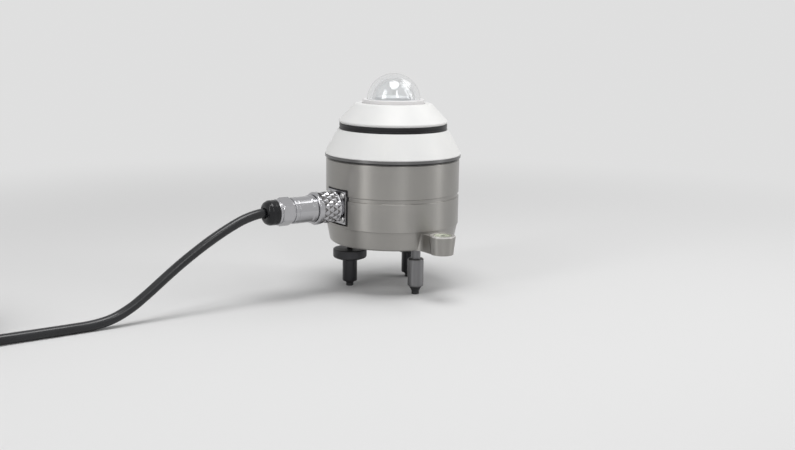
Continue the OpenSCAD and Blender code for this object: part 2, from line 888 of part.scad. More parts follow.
// Chips, capacitors and headers on the board
module board_parts() {
    top = board_z + board_t;
    color("#2a2b2e") {
        for (i = [0:len(chip_sizes) - 1])
            translate([chip_place_shares[i][0] * board_r - chip_sizes[i] / 2,
                       chip_place_shares[i][1] * board_r - chip_sizes[i] / 2, top])
                cube([chip_sizes[i], chip_sizes[i], chip_h]);
        for (p = capacitor_place_shares)
            translate([p[0] * board_r, p[1] * board_r, 0])
                disc(capacitor_r, top, top + capacitor_h);
        translate([-header_w / 2, -header_d / 2, top])
            cube([header_w, header_d, header_h]);
        translate([header_x - header_d / 2, -header_w / 2, board_z - header_h])
            cube([header_d, header_w, header_h]);
    }
}

module board_posts() {
    color("#c8a95a")
        around(post_circle_r, post_angles)
            ring(post_r, board_screw_r + fit, board_z + board_t, deck_z - deck_t);
}

module board_screws() {
    color("#c9c9c9")
        around(post_circle_r, post_angles)
            translate([0, 0, board_z])
                mirror([0, 0, 1])
                    cross_screw(board_screw_head_r, board_screw_head_h, board_screw_r,
                                board_screw_l);
}

module desiccant() {
    color("#d9d3c4")
        turned([[0, seam_z - desiccant_seat], [desiccant_r, seam_z - desiccant_seat],
                [desiccant_r, seam_z + desiccant_h - base_edge],
                [desiccant_r - base_edge, seam_z + desiccant_h], [0, seam_z + desiccant_h]]);
}

// Leads from the back of the socket up to the header under the board
module socket_leads() {
    back = contact_back_x;
    top = board_z - header_h;
    rise = top - socket_z;
    route_shares = [[0, 0], [0.25, 0], [0.55, 0.12], [0.82, 0.4], [1, 0.75], [1, 1]];
    color("#4c6fa5")
        for (s = [-1, 0, 1])
            swept([for (p = route_shares)
                      [-back + p[0] * (header_x + back), s * pin_circle_r / 2,
                       socket_z + p[1] * rise]],
                  lead_r, cable_sides);
}

module level_cup() {
    color("#c9c8c3")
        translate([0, -ear_reach, 0])
            turned([[0, ear_z - level_depth], [level_r, ear_z - level_depth], [level_r, ear_z],
                    [level_flange_r, ear_z], [level_flange_r, ear_z + level_flange_t],
                    [level_r - level_wall, ear_z + level_flange_t],
                    [level_r - level_wall, ear_z - level_depth + level_floor],
                    [0, ear_z - level_depth + level_floor]]);
}

// Fluid of the level, with its bubble as a hollow under the glass
module level_fluid() {
    low = ear_z - level_depth + level_floor;
    high = ear_z + level_flange_t - level_glass_t;
    color("#cfd98a")
        translate([0, -ear_reach, 0])
            difference() {
                disc(level_r - level_wall, low, high);
                disc(bubble_r, high - bubble_h, high + cut);
            }
}

module level_glass() {
    high = ear_z + level_flange_t;
    color([0.88, 0.94, 0.96, 0.4])
        translate([0, -ear_reach, 0])
            disc(level_r - level_wall, high - level_glass_t, high);
}

module fixed_foot() {
    color("#9b9c9e")
        around(foot_circle_r, [fixed_angle])
            difference() {
                union() {
                    disc(stud_r, fixed_post_low_z, foot_h + stem_grip - base_edge);
                    disc(fixed_post_r, fixed_post_low_z, fixed_post_top_z);
                }
                disc(pin_r + fit, fixed_post_low_z - cut, fixed_post_low_z + pin_l);
            }
}

module fixed_foot_tip() {
    color("#1e1f21")
        around(foot_circle_r, [fixed_angle]) {
            disc(tip_r, 0, tip_h);
            translate([0, 0, tip_h])
                cylinder(r1 = tip_r, r2 = tip_cone_r, h = fixed_post_low_z - tip_h);
            disc(pin_r, tip_h, fixed_post_low_z + pin_l - play);
        }
}

wheel_low_z = wheel_top_z - wheel_h;
level_post_low_z = tip_h + play;

// Stem and post of a levelling foot, bored for the pin of its tip
module foot_screw(angle) {
    color("#232427")
        around(foot_circle_r, [angle])
            difference() {
                union() {
                    disc(stem_r, wheel_low_z, foot_h + stem_grip);
                    disc(level_post_r, level_post_low_z + level_cone, wheel_low_z - wheel_chamfer);
                    translate([0, 0, level_post_low_z])
                        cylinder(r1 = tip_r, r2 = level_post_r, h = level_cone);
                    disc(stem_r, wheel_low_z - wheel_chamfer, wheel_low_z);
                }
                disc(pin_r + fit, level_post_low_z - cut, level_post_low_z + pin_l);
            }
}

module foot_wheel(angle) {
    edge = base_edge / 2;
    color("#2b2c30")
        around(foot_circle_r, [angle])
            turned([[stem_r + fit, wheel_low_z - wheel_chamfer],
                    [level_post_r, wheel_low_z - wheel_chamfer],
                    [level_post_r + base_edge * 2, wheel_low_z - wheel_chamfer],
                    [wheel_r - edge, wheel_low_z], [wheel_r, wheel_low_z + edge],
                    [wheel_r, wheel_top_z - edge], [wheel_r - edge, wheel_top_z],
                    [stem_r + fit, wheel_top_z]]);
}

// Tip that stays still while the screw turns on its pin
module foot_tip(angle) {
    color("#1e1f21")
        around(foot_circle_r, [angle]) {
            disc(tip_r, 0, tip_h);
            disc(pin_r, tip_h, level_post_low_z + pin_l - play);
        }
}

module left_foot_screw() { foot_screw(foot_angles[0]); }
module left_foot_wheel() { foot_wheel(foot_angles[0]); }
module left_foot_tip() { foot_tip(foot_angles[0]); }
module right_foot_screw() { foot_screw(foot_angles[1]); }
module right_foot_wheel() { foot_wheel(foot_angles[1]); }
module right_foot_tip() { foot_tip(foot_angles[1]); }

// Square plate across the socket's axis
module plate(side, low, high) {
    translate([-side / 2, -side / 2, low])
        cube([side, side, high - low]);
}

module socket_gasket() {
    color("#141414")
        on_socket()
            difference() {
                plate(gasket_side, flat_x, flat_x + gasket_t);
                disc(socket_bore_r, flat_x - cut, flat_x + gasket_t + cut);
                at_flange_corners()
                    disc(flange_screw_r + fit, flat_x - cut, flat_x + gasket_t + cut);
            }
}

module socket_flange() {
    face_x = flat_x + gasket_t;
    color("#d6d7d8")
        on_socket()
            difference() {
                union() {
                    plate(flange_side, face_x, face_x + flange_t);
                    disc(barrel_r, face_x, barrel_front_x);
                    disc(socket_bore_r - fit, barrel_back_x, face_x);
                }
                disc(barrel_bore_r, barrel_back_x - cut, barrel_front_x + cut);
                at_flange_corners()
                    disc(flange_screw_r + fit, face_x - cut, face_x + flange_t + cut);
            }
}

module socket_screws() {
    color("#d9dadb")
        on_socket()
            at_flange_corners()
                translate([0, 0, flat_x + gasket_t + flange_t])
                    cross_screw(flange_screw_head_r, flange_screw_head_h, flange_screw_r,
                                flange_screw_l);
}

module at_pins() {
    around(pin_circle_r, [for (i = [0:pin_count - 1]) 360 * i / pin_count])
        children();
}

module socket_insert() {
    color("#26272a")
        on_socket()
            difference() {
                disc(barrel_bore_r - fit, socket_insert_back_x, socket_insert_front_x);
                at_pins()
                    disc(contact_r + fit, socket_insert_back_x - cut, socket_insert_front_x + cut);
            }
}

module socket_pins() {
    color("#cfae62")
        on_socket()
            at_pins()
                disc(contact_r, contact_back_x, contact_front_x);
}

// Knurled ring that locks the plug on the socket
module coupling_ring() {
    row = (ring_knurl_x - ring_start_x) / knurl_rows;
    color("#d9dadb")
        on_socket()
            difference() {
                union() {
                    disc(ring_r, ring_start_x, ring_knurl_x);
                    disc(ring_rim_r, ring_knurl_x, ring_end_x);
                }
                disc(barrel_r + fit * 2, ring_start_x - cut, ring_web_x);
                disc(ring_back_bore_r, ring_start_x - cut, ring_end_x + cut);
                for (i = [1:knurl_rows])
                    translate([0, 0, ring_start_x + i * row - knurl_cut_w])
                        difference() {
                            disc(ring_r + cut, 0, knurl_cut_w);
                            disc(ring_r - knurl_depth, -cut, knurl_cut_w + cut);
                        }
                for (i = [0:knurl_columns - 1])
                    rotate([0, 0, 360 * i / knurl_columns])
                        translate([ring_r - knurl_depth, -knurl_cut_w / 2, ring_start_x - cut])
                            cube([ring_rim_r, knurl_cut_w, ring_knurl_x - ring_start_x + cut]);
            }
}

// Sleeve of the plug: a skirt inside the socket, a journal for the ring and the outer sleeve
module plug_sleeve() {
    journal_r = ring_back_bore_r - fit;
    inner_r = skirt_r - skirt_wall;
    color("#d2d3d4")
        on_socket()
            turned([[inner_r, skirt_front_x], [skirt_r, skirt_front_x], [skirt_r, skirt_back_x],
                    [journal_r, skirt_back_x], [journal_r, sleeve_start_x],
                    [sleeve_front_r, sleeve_start_x], [sleeve_front_r, sleeve_step_x],
                    [sleeve_back_r, sleeve_step_x + base_edge], [sleeve_back_r, sleeve_end_x],
                    [sleeve_bore_r, sleeve_end_x], [sleeve_bore_r, plug_insert_back_x],
                    [inner_r, plug_insert_back_x]]);
}

module plug_insert() {
    color("#26272a")
        on_socket()
            difference() {
                disc(skirt_r - skirt_wall - fit, plug_insert_front_x, plug_insert_back_x);
                at_pins()
                    disc(contact_r + fit, plug_insert_front_x - cut, contact_front_x + play);
            }
}

// Hexagonal nut that clamps the cable, with turned chamfers at both ends
module back_nut() {
    across = nut_flats / cos(30);
    color("#d6d7d8")
        on_socket()
            difference() {
                intersection() {
                    translate([0, 0, sleeve_end_x])
                        cylinder(d = across, h = nut_end_x - sleeve_end_x, $fn = 6);
                    turned([[0, sleeve_end_x], [nut_neck_r, sleeve_end_x],
                            [nut_neck_r, sleeve_end_x + nut_neck],
                            [across / 2, sleeve_end_x + nut_neck + nut_chamfer],
                            [across / 2, nut_end_x - nut_chamfer],
                            [nut_flats / 2, nut_end_x], [0, nut_end_x]]);
                }
                disc(sleeve_bore_r, sleeve_end_x - cut, nut_end_x + cut);
            }
}

module clamp_ring() {
    color("#dfe0e1")
        on_socket()
            ring(clamp_r, sleeve_bore_r, nut_end_x, clamp_end_x);
}

// Domed boot, with a recess that takes the cable
module cable_boot() {
    color("#0c0d10")
        on_socket()
            rotate_extrude()
                difference() {
                    union() {
                        square([boot_r - boot_round, boot_end_x]);
                        square([boot_r, boot_end_x - boot_round]);
                        translate([boot_r - boot_round, boot_end_x - boot_round])
                            circle(r = boot_round);
                    }
                    square([boot_r + cut, clamp_end_x]);
                    translate([0, boot_end_x - boot_recess])
                        square([cable_d / 2 + cable_fit, boot_recess + cut]);
                }
}

module cable() {
    color("#0b0c0f")
        swept(cable_points, cable_d / 2, cable_sides);
}

module cable_coil() {
    color("#0d0e11")
        swept(coil_points, cable_d / 2, coil_sides);
}

// Outline drawn tight round the turns, a gap away from them
module round_turns(turns, gap) {
    hull()
        for (p = turns)
            translate(p)
                circle(r = cable_d / 2 + gap, $fn = 32);
}

// Straps that hold the coil, each closed round all its turns, with a head on top
module coil_ties() {
    color("#1a1b1e")
        for (a = tie_angles) {
            turns = coil_section((720 - 90 - a) % 360 / 360);
            high = max([for (p = turns) p[1]]) + cable_d / 2 + soft_gap + tie_t;
            middle = (coil_start_r + min([for (p = turns) p[0]])) / 2;
            translate([coil_centre[0], coil_centre[1], 0])
                rotate([0, 0, a]) {
                    translate([0, tie_w / 2, 0])
                        rotate([90, 0, 0])
                            linear_extrude(tie_w)
                                difference() {
                                    round_turns(turns, soft_gap + tie_t);
                                    round_turns(turns, soft_gap);
                                }
                    translate([middle - tie_head / 2, -tie_w / 2 - tie_t, high])
                        cube([tie_head, tie_w + 2 * tie_t, tie_head_t]);
                }
        }
}

// Turns a piece made along +X, to start where the coil ends and run on along its last turn
module at_lead_end() {
    translate(lead_end_at)
        rotate([0, 0, lead_end_angle - 90])
            children();
}

// Shrunk sleeve over the end of the cable's jacket
module lead_sleeve() {
    color("#101114")
        at_lead_end()
            rotate([0, 90, 0])
                turned([[0, 0], [lead_sleeve_r - play, 0], [lead_sleeve_r, base_edge],
                        [lead_sleeve_r - play, lead_sleeve_l - base_edge],
                        [lead_sleeve_r - 2 * play - base_edge / 2, lead_sleeve_l],
                        [0, lead_sleeve_l]]);
}

// Centre line of one bare lead, which fans out, sinks and bends with the turn below it
function lead_line(k) =
    [for (i = [0:lead_steps])
        let (u = i / lead_steps, x = lead_sleeve_l + soft_gap + lead_l * u,
             spread = (k - (lead_count - 1) / 2))
        [x, spread * (lead_fan * 0.5 + lead_fan * u / 2) - x * x / (2 * coil_start_r),
         -lead_drop * u * u * (3 - 2 * u)]];

module lead_wires() {
    color("#8a8f98")
        at_lead_end()
            for (k = [0:lead_count - 1])
                swept(lead_line(k), lead_r, cable_sides);
}

module lead_ferrules() {
    color("#cfd0d2")
        at_lead_end()
            for (k = [0:lead_count - 1]) {
                line = lead_line(k);
                tip = line[lead_steps];
                way = unit(tip - line[lead_steps - 1]);
                swept([tip, tip + way * ferrule_l / 2, tip + way * ferrule_l], ferrule_r,
                      cable_sides);
            }
}

base_plate();
base_gasket();
base_screws();
housing();
rim_gasket();
head();
head_screws();
lower_shade();
shade_band();
upper_shade();
dome_collar();
outer_dome();
inner_dome();
dome_seals();
sensor_holder();
holder_screws();
diffuser();
thermopile();
heat_sink();
thermistor();
sensor_leads();
circuit_board();
board_parts();
board_posts();
board_screws();
desiccant();
socket_leads();
level_cup();
level_fluid();
level_glass();
fixed_foot();
fixed_foot_tip();
left_foot_screw();
left_foot_wheel();
left_foot_tip();
right_foot_screw();
right_foot_wheel();
right_foot_tip();
socket_gasket();
socket_flange();
socket_screws();
socket_insert();
socket_pins();
coupling_ring();
plug_sleeve();
plug_insert();
back_nut();
clamp_ring();
cable_boot();
cable();
cable_coil();
coil_ties();
lead_sleeve();
lead_wires();
lead_ferrules();
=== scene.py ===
import json
import math

import bmesh
import bpy
import numpy as np
from mathutils import Matrix, Vector


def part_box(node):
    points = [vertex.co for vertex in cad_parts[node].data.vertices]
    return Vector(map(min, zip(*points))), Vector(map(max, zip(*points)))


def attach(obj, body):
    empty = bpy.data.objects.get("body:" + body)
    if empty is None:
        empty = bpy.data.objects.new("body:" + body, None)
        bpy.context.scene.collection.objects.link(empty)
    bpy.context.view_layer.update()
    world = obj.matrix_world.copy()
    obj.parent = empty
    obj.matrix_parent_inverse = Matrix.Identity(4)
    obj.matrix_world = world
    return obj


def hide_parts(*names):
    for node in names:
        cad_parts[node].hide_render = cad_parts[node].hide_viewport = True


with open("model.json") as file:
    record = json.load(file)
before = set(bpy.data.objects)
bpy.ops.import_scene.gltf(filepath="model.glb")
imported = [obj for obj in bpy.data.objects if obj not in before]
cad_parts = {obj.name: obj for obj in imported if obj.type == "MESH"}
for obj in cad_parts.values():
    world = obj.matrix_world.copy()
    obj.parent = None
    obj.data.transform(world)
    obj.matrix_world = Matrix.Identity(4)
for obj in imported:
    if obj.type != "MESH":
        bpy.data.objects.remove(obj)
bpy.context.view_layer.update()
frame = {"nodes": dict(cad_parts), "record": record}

# A pyranometer with two glass domes, a white sun shade, a turned body on three feet and a
# plugged lead. Lengths are in millimetres and MM turns them into Blender's metres.
MM = 0.001
scene = bpy.context.scene
ROOT = "instrument"
IN_PLACE = Matrix.Identity(4)


def span(node, axis):
    """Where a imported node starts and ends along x, y or z, in millimetres."""
    low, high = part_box(node)
    i = "xyz".index(axis)
    return round(low[i] / MM, 3), round(high[i] / MM, 3)


# Height of the plug's axis, which the tool marks of the plug run round
PLUG_Z = sum(span("cable_boot", "z")) / 2


# Camera, at the photograph's viewing angle. Its place is in metres.

IMAGE_W = 795
FOCAL_PX = 1089.5
SENSOR_W = 36.0
CAMERA_AT = Vector((-0.43732, -0.63160, 0.19360))
CAMERA_AZIMUTH = math.radians(-35.0)
CAMERA_DOWN = math.radians(11.01)
CAMERA_ROLL = math.radians(0.86)
CLIP_START = 0.01


def make_camera():
    data = bpy.data.cameras.new("camera")
    data.sensor_width = SENSOR_W
    data.lens = FOCAL_PX / IMAGE_W * SENSOR_W
    data.clip_start = CLIP_START
    camera = bpy.data.objects.new("camera", data)
    scene.collection.objects.link(camera)
    ahead = Vector((-math.sin(CAMERA_AZIMUTH) * math.cos(CAMERA_DOWN),
                    math.cos(CAMERA_AZIMUTH) * math.cos(CAMERA_DOWN), -math.sin(CAMERA_DOWN)))
    level = ahead.cross(Vector((0, 0, 1))).normalized()
    above = level.cross(ahead)
    right = math.cos(CAMERA_ROLL) * level + math.sin(CAMERA_ROLL) * above
    up = right.cross(ahead)
    turn = Matrix((right, up, -ahead)).transposed().to_4x4()
    camera.matrix_world = Matrix.Translation(CAMERA_AT) @ turn
    scene.camera = camera


make_camera()


# Materials. Depths of relief are in metres, and noise scales are per metre.

# Most of a noise texture's values lie between these two
NOISE_LOW = 0.3
NOISE_HIGH = 0.7
# How far tool marks and clouds change the roughness, as a share of it
MARK_SHARE = 0.12
CLOUD_SHARE = 0.15


class Look:
    """A Principled material with helpers that add procedural detail to it."""

    def __init__(self, name, color, metallic=0.0, roughness=0.5, **inputs):
        self.material = bpy.data.materials.new(name)
        self.material.use_nodes = True
        self.tree = self.material.node_tree
        self.shader = self.tree.nodes["Principled BSDF"]
        self.color = (*color, 1.0)
        self.shader.inputs["Base Color"].default_value = self.color
        self.shader.inputs["Metallic"].default_value = metallic
        self.shader.inputs["Roughness"].default_value = roughness
        for socket, value in inputs.items():
            self.shader.inputs[socket.replace("_", " ")].default_value = value
        self.height = None
        self.place = self.node("ShaderNodeTexCoord").outputs["Object"]

    def node(self, kind, **settings):
        made = self.tree.nodes.new(kind)
        for key, value in settings.items():
            setattr(made, key, value)
        return made

    def link(self, a, b):
        self.tree.links.new(a, b)

    def math(self, operation, a, b=0.0):
        made = self.node("ShaderNodeMath", operation=operation)
        for socket, value in zip(made.inputs, (a, b)):
            if isinstance(value, (int, float)):
                socket.default_value = value
            else:
                self.link(value, socket)
        return made.outputs[0]

    def noise(self, scale, detail=3.0, rough=0.55, stretch=None):
        made = self.node("ShaderNodeTexNoise")
        made.inputs["Scale"].default_value = scale
        made.inputs["Detail"].default_value = detail
        made.inputs["Roughness"].default_value = rough
        source = self.place
        if stretch:
            mapping = self.node("ShaderNodeMapping")
            mapping.inputs["Scale"].default_value = stretch
            self.link(source, mapping.inputs["Vector"])
            source = mapping.outputs["Vector"]
        self.link(source, made.inputs["Vector"])
        return made.outputs["Fac"]

    def spread(self, value, low, high):
        """Maps a noise value to low to high."""
        made = self.node("ShaderNodeMapRange")
        numbers = {"From Min": NOISE_LOW, "From Max": NOISE_HIGH, "To Min": low, "To Max": high}
        for socket, number in numbers.items():
            made.inputs[socket].default_value = number
        self.link(value, made.inputs["Value"])
        return made.outputs["Result"]

    def vary_color(self, value, darker, lighter):
        """Blends the colour between two tints of itself by a noise value."""
        ramp = self.node("ShaderNodeValToRGB")
        stops = zip(ramp.color_ramp.elements, (NOISE_LOW, NOISE_HIGH), (darker, lighter))
        for element, position, tint in stops:
            element.position = position
            element.color = (*[min(c * t, 1.0) for c, t in zip(self.color[:3], tint)], 1.0)
        self.link(value, ramp.inputs["Fac"])
        self.link(ramp.outputs["Color"], self.shader.inputs["Base Color"])
        return self

    def vary_roughness(self, value, low, high):
        self.link(self.spread(value, low, high), self.shader.inputs["Roughness"])
        return self

    def bump(self, value, depth):
        """Adds relief; calls stack."""
        made = self.node("ShaderNodeBump")
        made.inputs["Distance"].default_value = depth
        made.inputs["Strength"].default_value = 1.0
        self.link(value, made.inputs["Height"])
        if self.height:
            self.link(self.height, made.inputs["Normal"])
        self.height = made.outputs["Normal"]
        self.link(self.height, self.shader.inputs["Normal"])
        return self

    def round_edges(self, radius):
        """Makes sharp edges look rounded; it comes before any bump."""
        made = self.node("ShaderNodeBevel", samples=4)
        made.inputs["Radius"].default_value = radius
        self.height = made.outputs["Normal"]
        self.link(self.height, self.shader.inputs["Normal"])
        return self

    def along(self, axis):
        """Distance from an axis less the way along it, which stays the same on a tool's path."""
        parts = self.node("ShaderNodeSeparateXYZ")
        self.link(self.place, parts.inputs[0])
        x, y, z = parts.outputs
        if axis == "plug":
            x, z = z, x
            x = self.math("SUBTRACT", x, PLUG_Z * MM)
        from_axis = self.math("SQRT", self.math("ADD", self.math("MULTIPLY", x, x),
                                                self.math("MULTIPLY", y, y)))
        return self.math("SUBTRACT", from_axis, z)

    def tool_marks(self, axis, lines_per_m, depth):
        """Fine turned lines round an axis, in relief and in roughness."""
        made = self.node("ShaderNodeTexNoise", noise_dimensions="1D")
        made.inputs["Scale"].default_value = lines_per_m
        made.inputs["Detail"].default_value = 2.0
        self.link(self.along(axis), made.inputs["W"])
        rough = self.shader.inputs["Roughness"].default_value
        self.vary_roughness(made.outputs["Fac"], rough * (1 - MARK_SHARE), rough * (1 + MARK_SHARE))
        return self.bump(made.outputs["Fac"], depth)


TURNED_LINES_PER_M = 5200.0
# How much warmer the lighter clouds of a metal are, for red, green and blue
WARM_SHARES = (0.8, 0.6, 0.5)
QUARTER_TURN = 0.25


def satin_metal(name, color, roughness, axis="body", edge=0.25 * MM, depth=2.2e-6, tint=0.05, spin=0.0):
    """A turned metal; spin stretches its highlights across the turned lines."""
    look = Look(name, color, 1.0, roughness)
    if spin:
        look.shader.inputs["Anisotropic"].default_value = spin
        look.shader.inputs["Anisotropic Rotation"].default_value = QUARTER_TURN
        round_z = look.node("ShaderNodeTangent", direction_type="RADIAL", axis="Z")
        look.link(round_z.outputs[0], look.shader.inputs["Tangent"])
    look.round_edges(edge)
    look.tool_marks(axis, TURNED_LINES_PER_M, depth)
    cloud = look.noise(scale=38.0, detail=4.0)
    return look.vary_color(cloud, [1 - tint] * 3, [1 + tint * share for share in WARM_SHARES])


def smooth_plastic(name, color, roughness, grain=900.0, depth=4e-6, tint=0.06, **inputs):
    look = Look(name, color, 0.0, roughness, **inputs)
    cloud = look.noise(scale=60.0, detail=4.0)
    look.vary_color(cloud, [1 - tint] * 3, [1 + tint] * 3)
    low, high = roughness * (1 - CLOUD_SHARE), min(1.0, roughness * (1 + CLOUD_SHARE))
    look.vary_roughness(look.noise(scale=150.0), low, high)
    return look.bump(look.noise(scale=grain, detail=2.0), depth)


def white_shade_look():
    look = Look("white_shade", (0.80, 0.80, 0.79), 0.0, 0.40, Specular_IOR_Level=0.32)
    streaks = look.noise(scale=26.0, detail=5.0, rough=0.6, stretch=(1.0, 1.0, 0.12))
    look.vary_color(streaks, darker=(0.955, 0.957, 0.965), lighter=(1.02, 1.018, 1.01))
    look.vary_roughness(look.noise(scale=70.0, detail=4.0), low=0.34, high=0.46)
    look.bump(look.noise(scale=1500.0, detail=3.0), depth=7e-6)
    return look.bump(look.noise(scale=220.0, detail=2.0), depth=1.2e-5)


def black_band_look():
    look = Look("black_band", (0.009, 0.009, 0.010), 0.0, 0.36, Specular_IOR_Level=0.35)
    look.vary_color(look.noise(scale=70.0), darker=[0.8] * 3, lighter=[1.5] * 3)
    look.vary_roughness(look.noise(scale=60.0), low=0.28, high=0.46)
    return look.bump(look.noise(scale=1400.0, detail=2.0), depth=6e-6)


def glass_look(name, tint, ior):
    """Clear glass that lets plain light through to what is under it."""
    look = Look(name, tint, 0.0, 0.0, IOR=ior, Transmission_Weight=1.0)
    look.vary_roughness(look.noise(scale=130.0, detail=3.0), low=0.0, high=0.03)
    clear = look.node("ShaderNodeBsdfTransparent")
    clear.inputs["Color"].default_value = (0.96, 0.97, 0.975, 1.0)
    path = look.node("ShaderNodeLightPath")
    mixed = look.node("ShaderNodeMixShader")
    through = look.math("MAXIMUM", path.outputs["Is Shadow Ray"], path.outputs["Is Diffuse Ray"])
    look.link(through, mixed.inputs["Fac"])
    look.link(look.shader.outputs["BSDF"], mixed.inputs[1])
    look.link(clear.outputs["BSDF"], mixed.inputs[2])
    look.link(mixed.outputs["Shader"], look.tree.nodes["Material Output"].inputs["Surface"])
    return look


def board_look():
    look = Look("green_board", (0.015, 0.11, 0.05), 0.0, 0.38)
    tracks = look.node("ShaderNodeTexVoronoi", distance="MANHATTAN")
    tracks.inputs["Scale"].default_value = 260.0
    look.link(look.place, tracks.inputs["Vector"])
    look.vary_color(tracks.outputs["Distance"], darker=[0.75] * 3, lighter=(1.5, 1.35, 1.3))
    return look.bump(tracks.outputs["Distance"], depth=1.5e-5)


def wheel_look():
    look = Look("dark_wheel", (0.038, 0.038, 0.041), 0.55, 0.40)
    look.round_edges(0.3 * MM)
    look.vary_color(look.noise(scale=90.0, detail=4.0), darker=[0.75] * 3, lighter=[1.6] * 3)
    look.vary_roughness(look.noise(scale=80.0, detail=3.0), low=0.34, high=0.52)
    return look.bump(look.noise(scale=1100.0, detail=2.0), depth=8e-6)


def cable_look():
    look = Look("cable_jacket", (0.008, 0.0085, 0.010), 0.0, 0.27, Specular_IOR_Level=0.35,
                Coat_Weight=0.25, Coat_Roughness=0.12)
    look.vary_color(look.noise(scale=45.0, detail=4.0), darker=[0.8] * 3, lighter=[1.4] * 3)
    look.vary_roughness(look.noise(scale=120.0, detail=3.0), low=0.22, high=0.36)
    return look.bump(look.noise(scale=800.0, detail=2.0), depth=1.2e-5)


LOOKS = {
    "white_shade": white_shade_look(),
    "black_band": black_band_look(),
    "turned_body": satin_metal("turned_body", (0.33, 0.322, 0.307), 0.40, spin=0.8),
    "turned_head": satin_metal("turned_head", (0.17, 0.17, 0.17), 0.36, spin=0.8),
    "white_collar": smooth_plastic("white_collar", (0.80, 0.785, 0.785), 0.34, tint=0.02),
    "dome_glass": glass_look("dome_glass", (0.955, 0.96, 0.963), 1.5),
    "diffuser_white": smooth_plastic("diffuser_white", (0.84, 0.84, 0.83), 0.42, tint=0.015),
    "dark_seal": smooth_plastic("dark_seal", (0.016, 0.016, 0.017), 0.55, grain=1400.0),
    "pale_seal": smooth_plastic("pale_seal", (0.62, 0.62, 0.60), 0.5),
    "steel_screw": satin_metal("steel_screw", (0.50, 0.50, 0.50), 0.24, edge=0.08 * MM),
    "black_sensor": smooth_plastic("black_sensor", (0.01, 0.01, 0.01), 0.8, grain=2500.0, depth=1e-5),
    "resin_bead": smooth_plastic("resin_bead", (0.03, 0.07, 0.045), 0.3),
    "red_lead": smooth_plastic("red_lead", (0.45, 0.035, 0.025), 0.38),
    "blue_lead": smooth_plastic("blue_lead", (0.03, 0.09, 0.42), 0.38),
    "grey_lead": smooth_plastic("grey_lead", (0.30, 0.31, 0.33), 0.38),
    "green_board": board_look(),
    "black_resin": smooth_plastic("black_resin", (0.02, 0.02, 0.022), 0.5),
    "plain_brass": satin_metal("plain_brass", (0.66, 0.50, 0.24), 0.28, edge=0.1 * MM),
    "dry_pellet": smooth_plastic("dry_pellet", (0.60, 0.52, 0.40), 0.7, grain=700.0, depth=3e-5, tint=0.15),
    "level_metal": satin_metal("level_metal", (0.80, 0.79, 0.77), 0.34, edge=0.12 * MM),
    "level_liquid": smooth_plastic("level_liquid", (0.86, 0.89, 0.72), 0.04, tint=0.03,
                                   Transmission_Weight=0.6, IOR=1.36),
    "foot_steel": satin_metal("foot_steel", (0.21, 0.21, 0.215), 0.33, edge=0.2 * MM, spin=0.85),
    "dark_foot": satin_metal("dark_foot", (0.045, 0.045, 0.048), 0.32, edge=0.2 * MM, spin=0.5),
    "dark_wheel": wheel_look(),
    "foot_rubber": smooth_plastic("foot_rubber", (0.018, 0.018, 0.020), 0.62, grain=1600.0),
    "bright_plug": satin_metal("bright_plug", (0.44, 0.44, 0.455), 0.14, "plug", 0.12 * MM, 9e-7, 0.03),
    "boot_rubber": smooth_plastic("boot_rubber", (0.006, 0.0065, 0.008), 0.14, tint=0.2,
                                  Specular_IOR_Level=0.35),
    "cable_jacket": cable_look(),
    "tie_nylon": smooth_plastic("tie_nylon", (0.020, 0.020, 0.022), 0.42, tint=0.15),
}


def dress_nodes():
    """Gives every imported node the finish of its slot."""
    for part in frame["record"]["subparts"]:
        materials = frame["nodes"][part["node"]].data.materials
        materials.clear()
        materials.append(LOOKS[part["material_slot"]].material)


dress_nodes()


# Meshes

EVEN_WEIGHT = 100
# A corner that is nearly straight stays as it is
STRAIGHT = math.radians(88)
# An arc takes at most this share of the side next to it
SIDE_SHARE = 0.49
ON_AXIS = 1e-6


def add_piece(name, points, faces, body, slot, even=True, at=(0.0, 0.0)):
    """A mesh in millimetres, with a finish, riding on a body. at moves its origin in X and Y."""
    mesh = bpy.data.meshes.new(name)
    origin = np.array([*at, 0.0])
    mesh.from_pydata([tuple(p) for p in (np.asarray(points) - origin) * MM], [], faces)
    mesh.validate()
    mesh.materials.append(LOOKS[slot].material)
    mesh.polygons.foreach_set("use_smooth", [True] * len(mesh.polygons))
    obj = bpy.data.objects.new(name, mesh)
    obj.location = Vector(origin * MM)
    scene.collection.objects.link(obj)
    if even:
        obj.modifiers.new("even", "WEIGHTED_NORMAL").weight = EVEN_WEIGHT
    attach(obj, body)
    return obj


def softened(corners, steps=4):
    """A closed outline with its corners, given as (r, z, radius), turned into arcs."""
    out = []
    places = np.array([corner[:2] for corner in corners], float)
    for i, corner in enumerate(corners):
        here, radius = places[i], corner[2]
        a, b = places[i - 1] - here, places[(i + 1) % len(places)] - here
        la, lb = np.linalg.norm(a), np.linalg.norm(b)
        a, b = a / la, b / lb
        half = math.acos(max(-1.0, min(1.0, float(a @ b)))) / 2
        if radius <= 0 or half > STRAIGHT:
            out.append(here)
            continue
        reach = min(radius / math.tan(half), SIDE_SHARE * la, SIDE_SHARE * lb)
        radius = reach * math.tan(half)
        middle = here + (a + b) / np.linalg.norm(a + b) * radius / math.sin(half)
        start, end = here + a * reach - middle, here + b * reach - middle
        angle = math.atan2(start[0] * end[1] - start[1] * end[0], float(start @ end))
        for k in range(steps + 1):
            t = angle * k / steps
            c, s = math.cos(t), math.sin(t)
            out.append(middle + np.array([c * start[0] - s * start[1], s * start[0] + c * start[1]]))
    return out


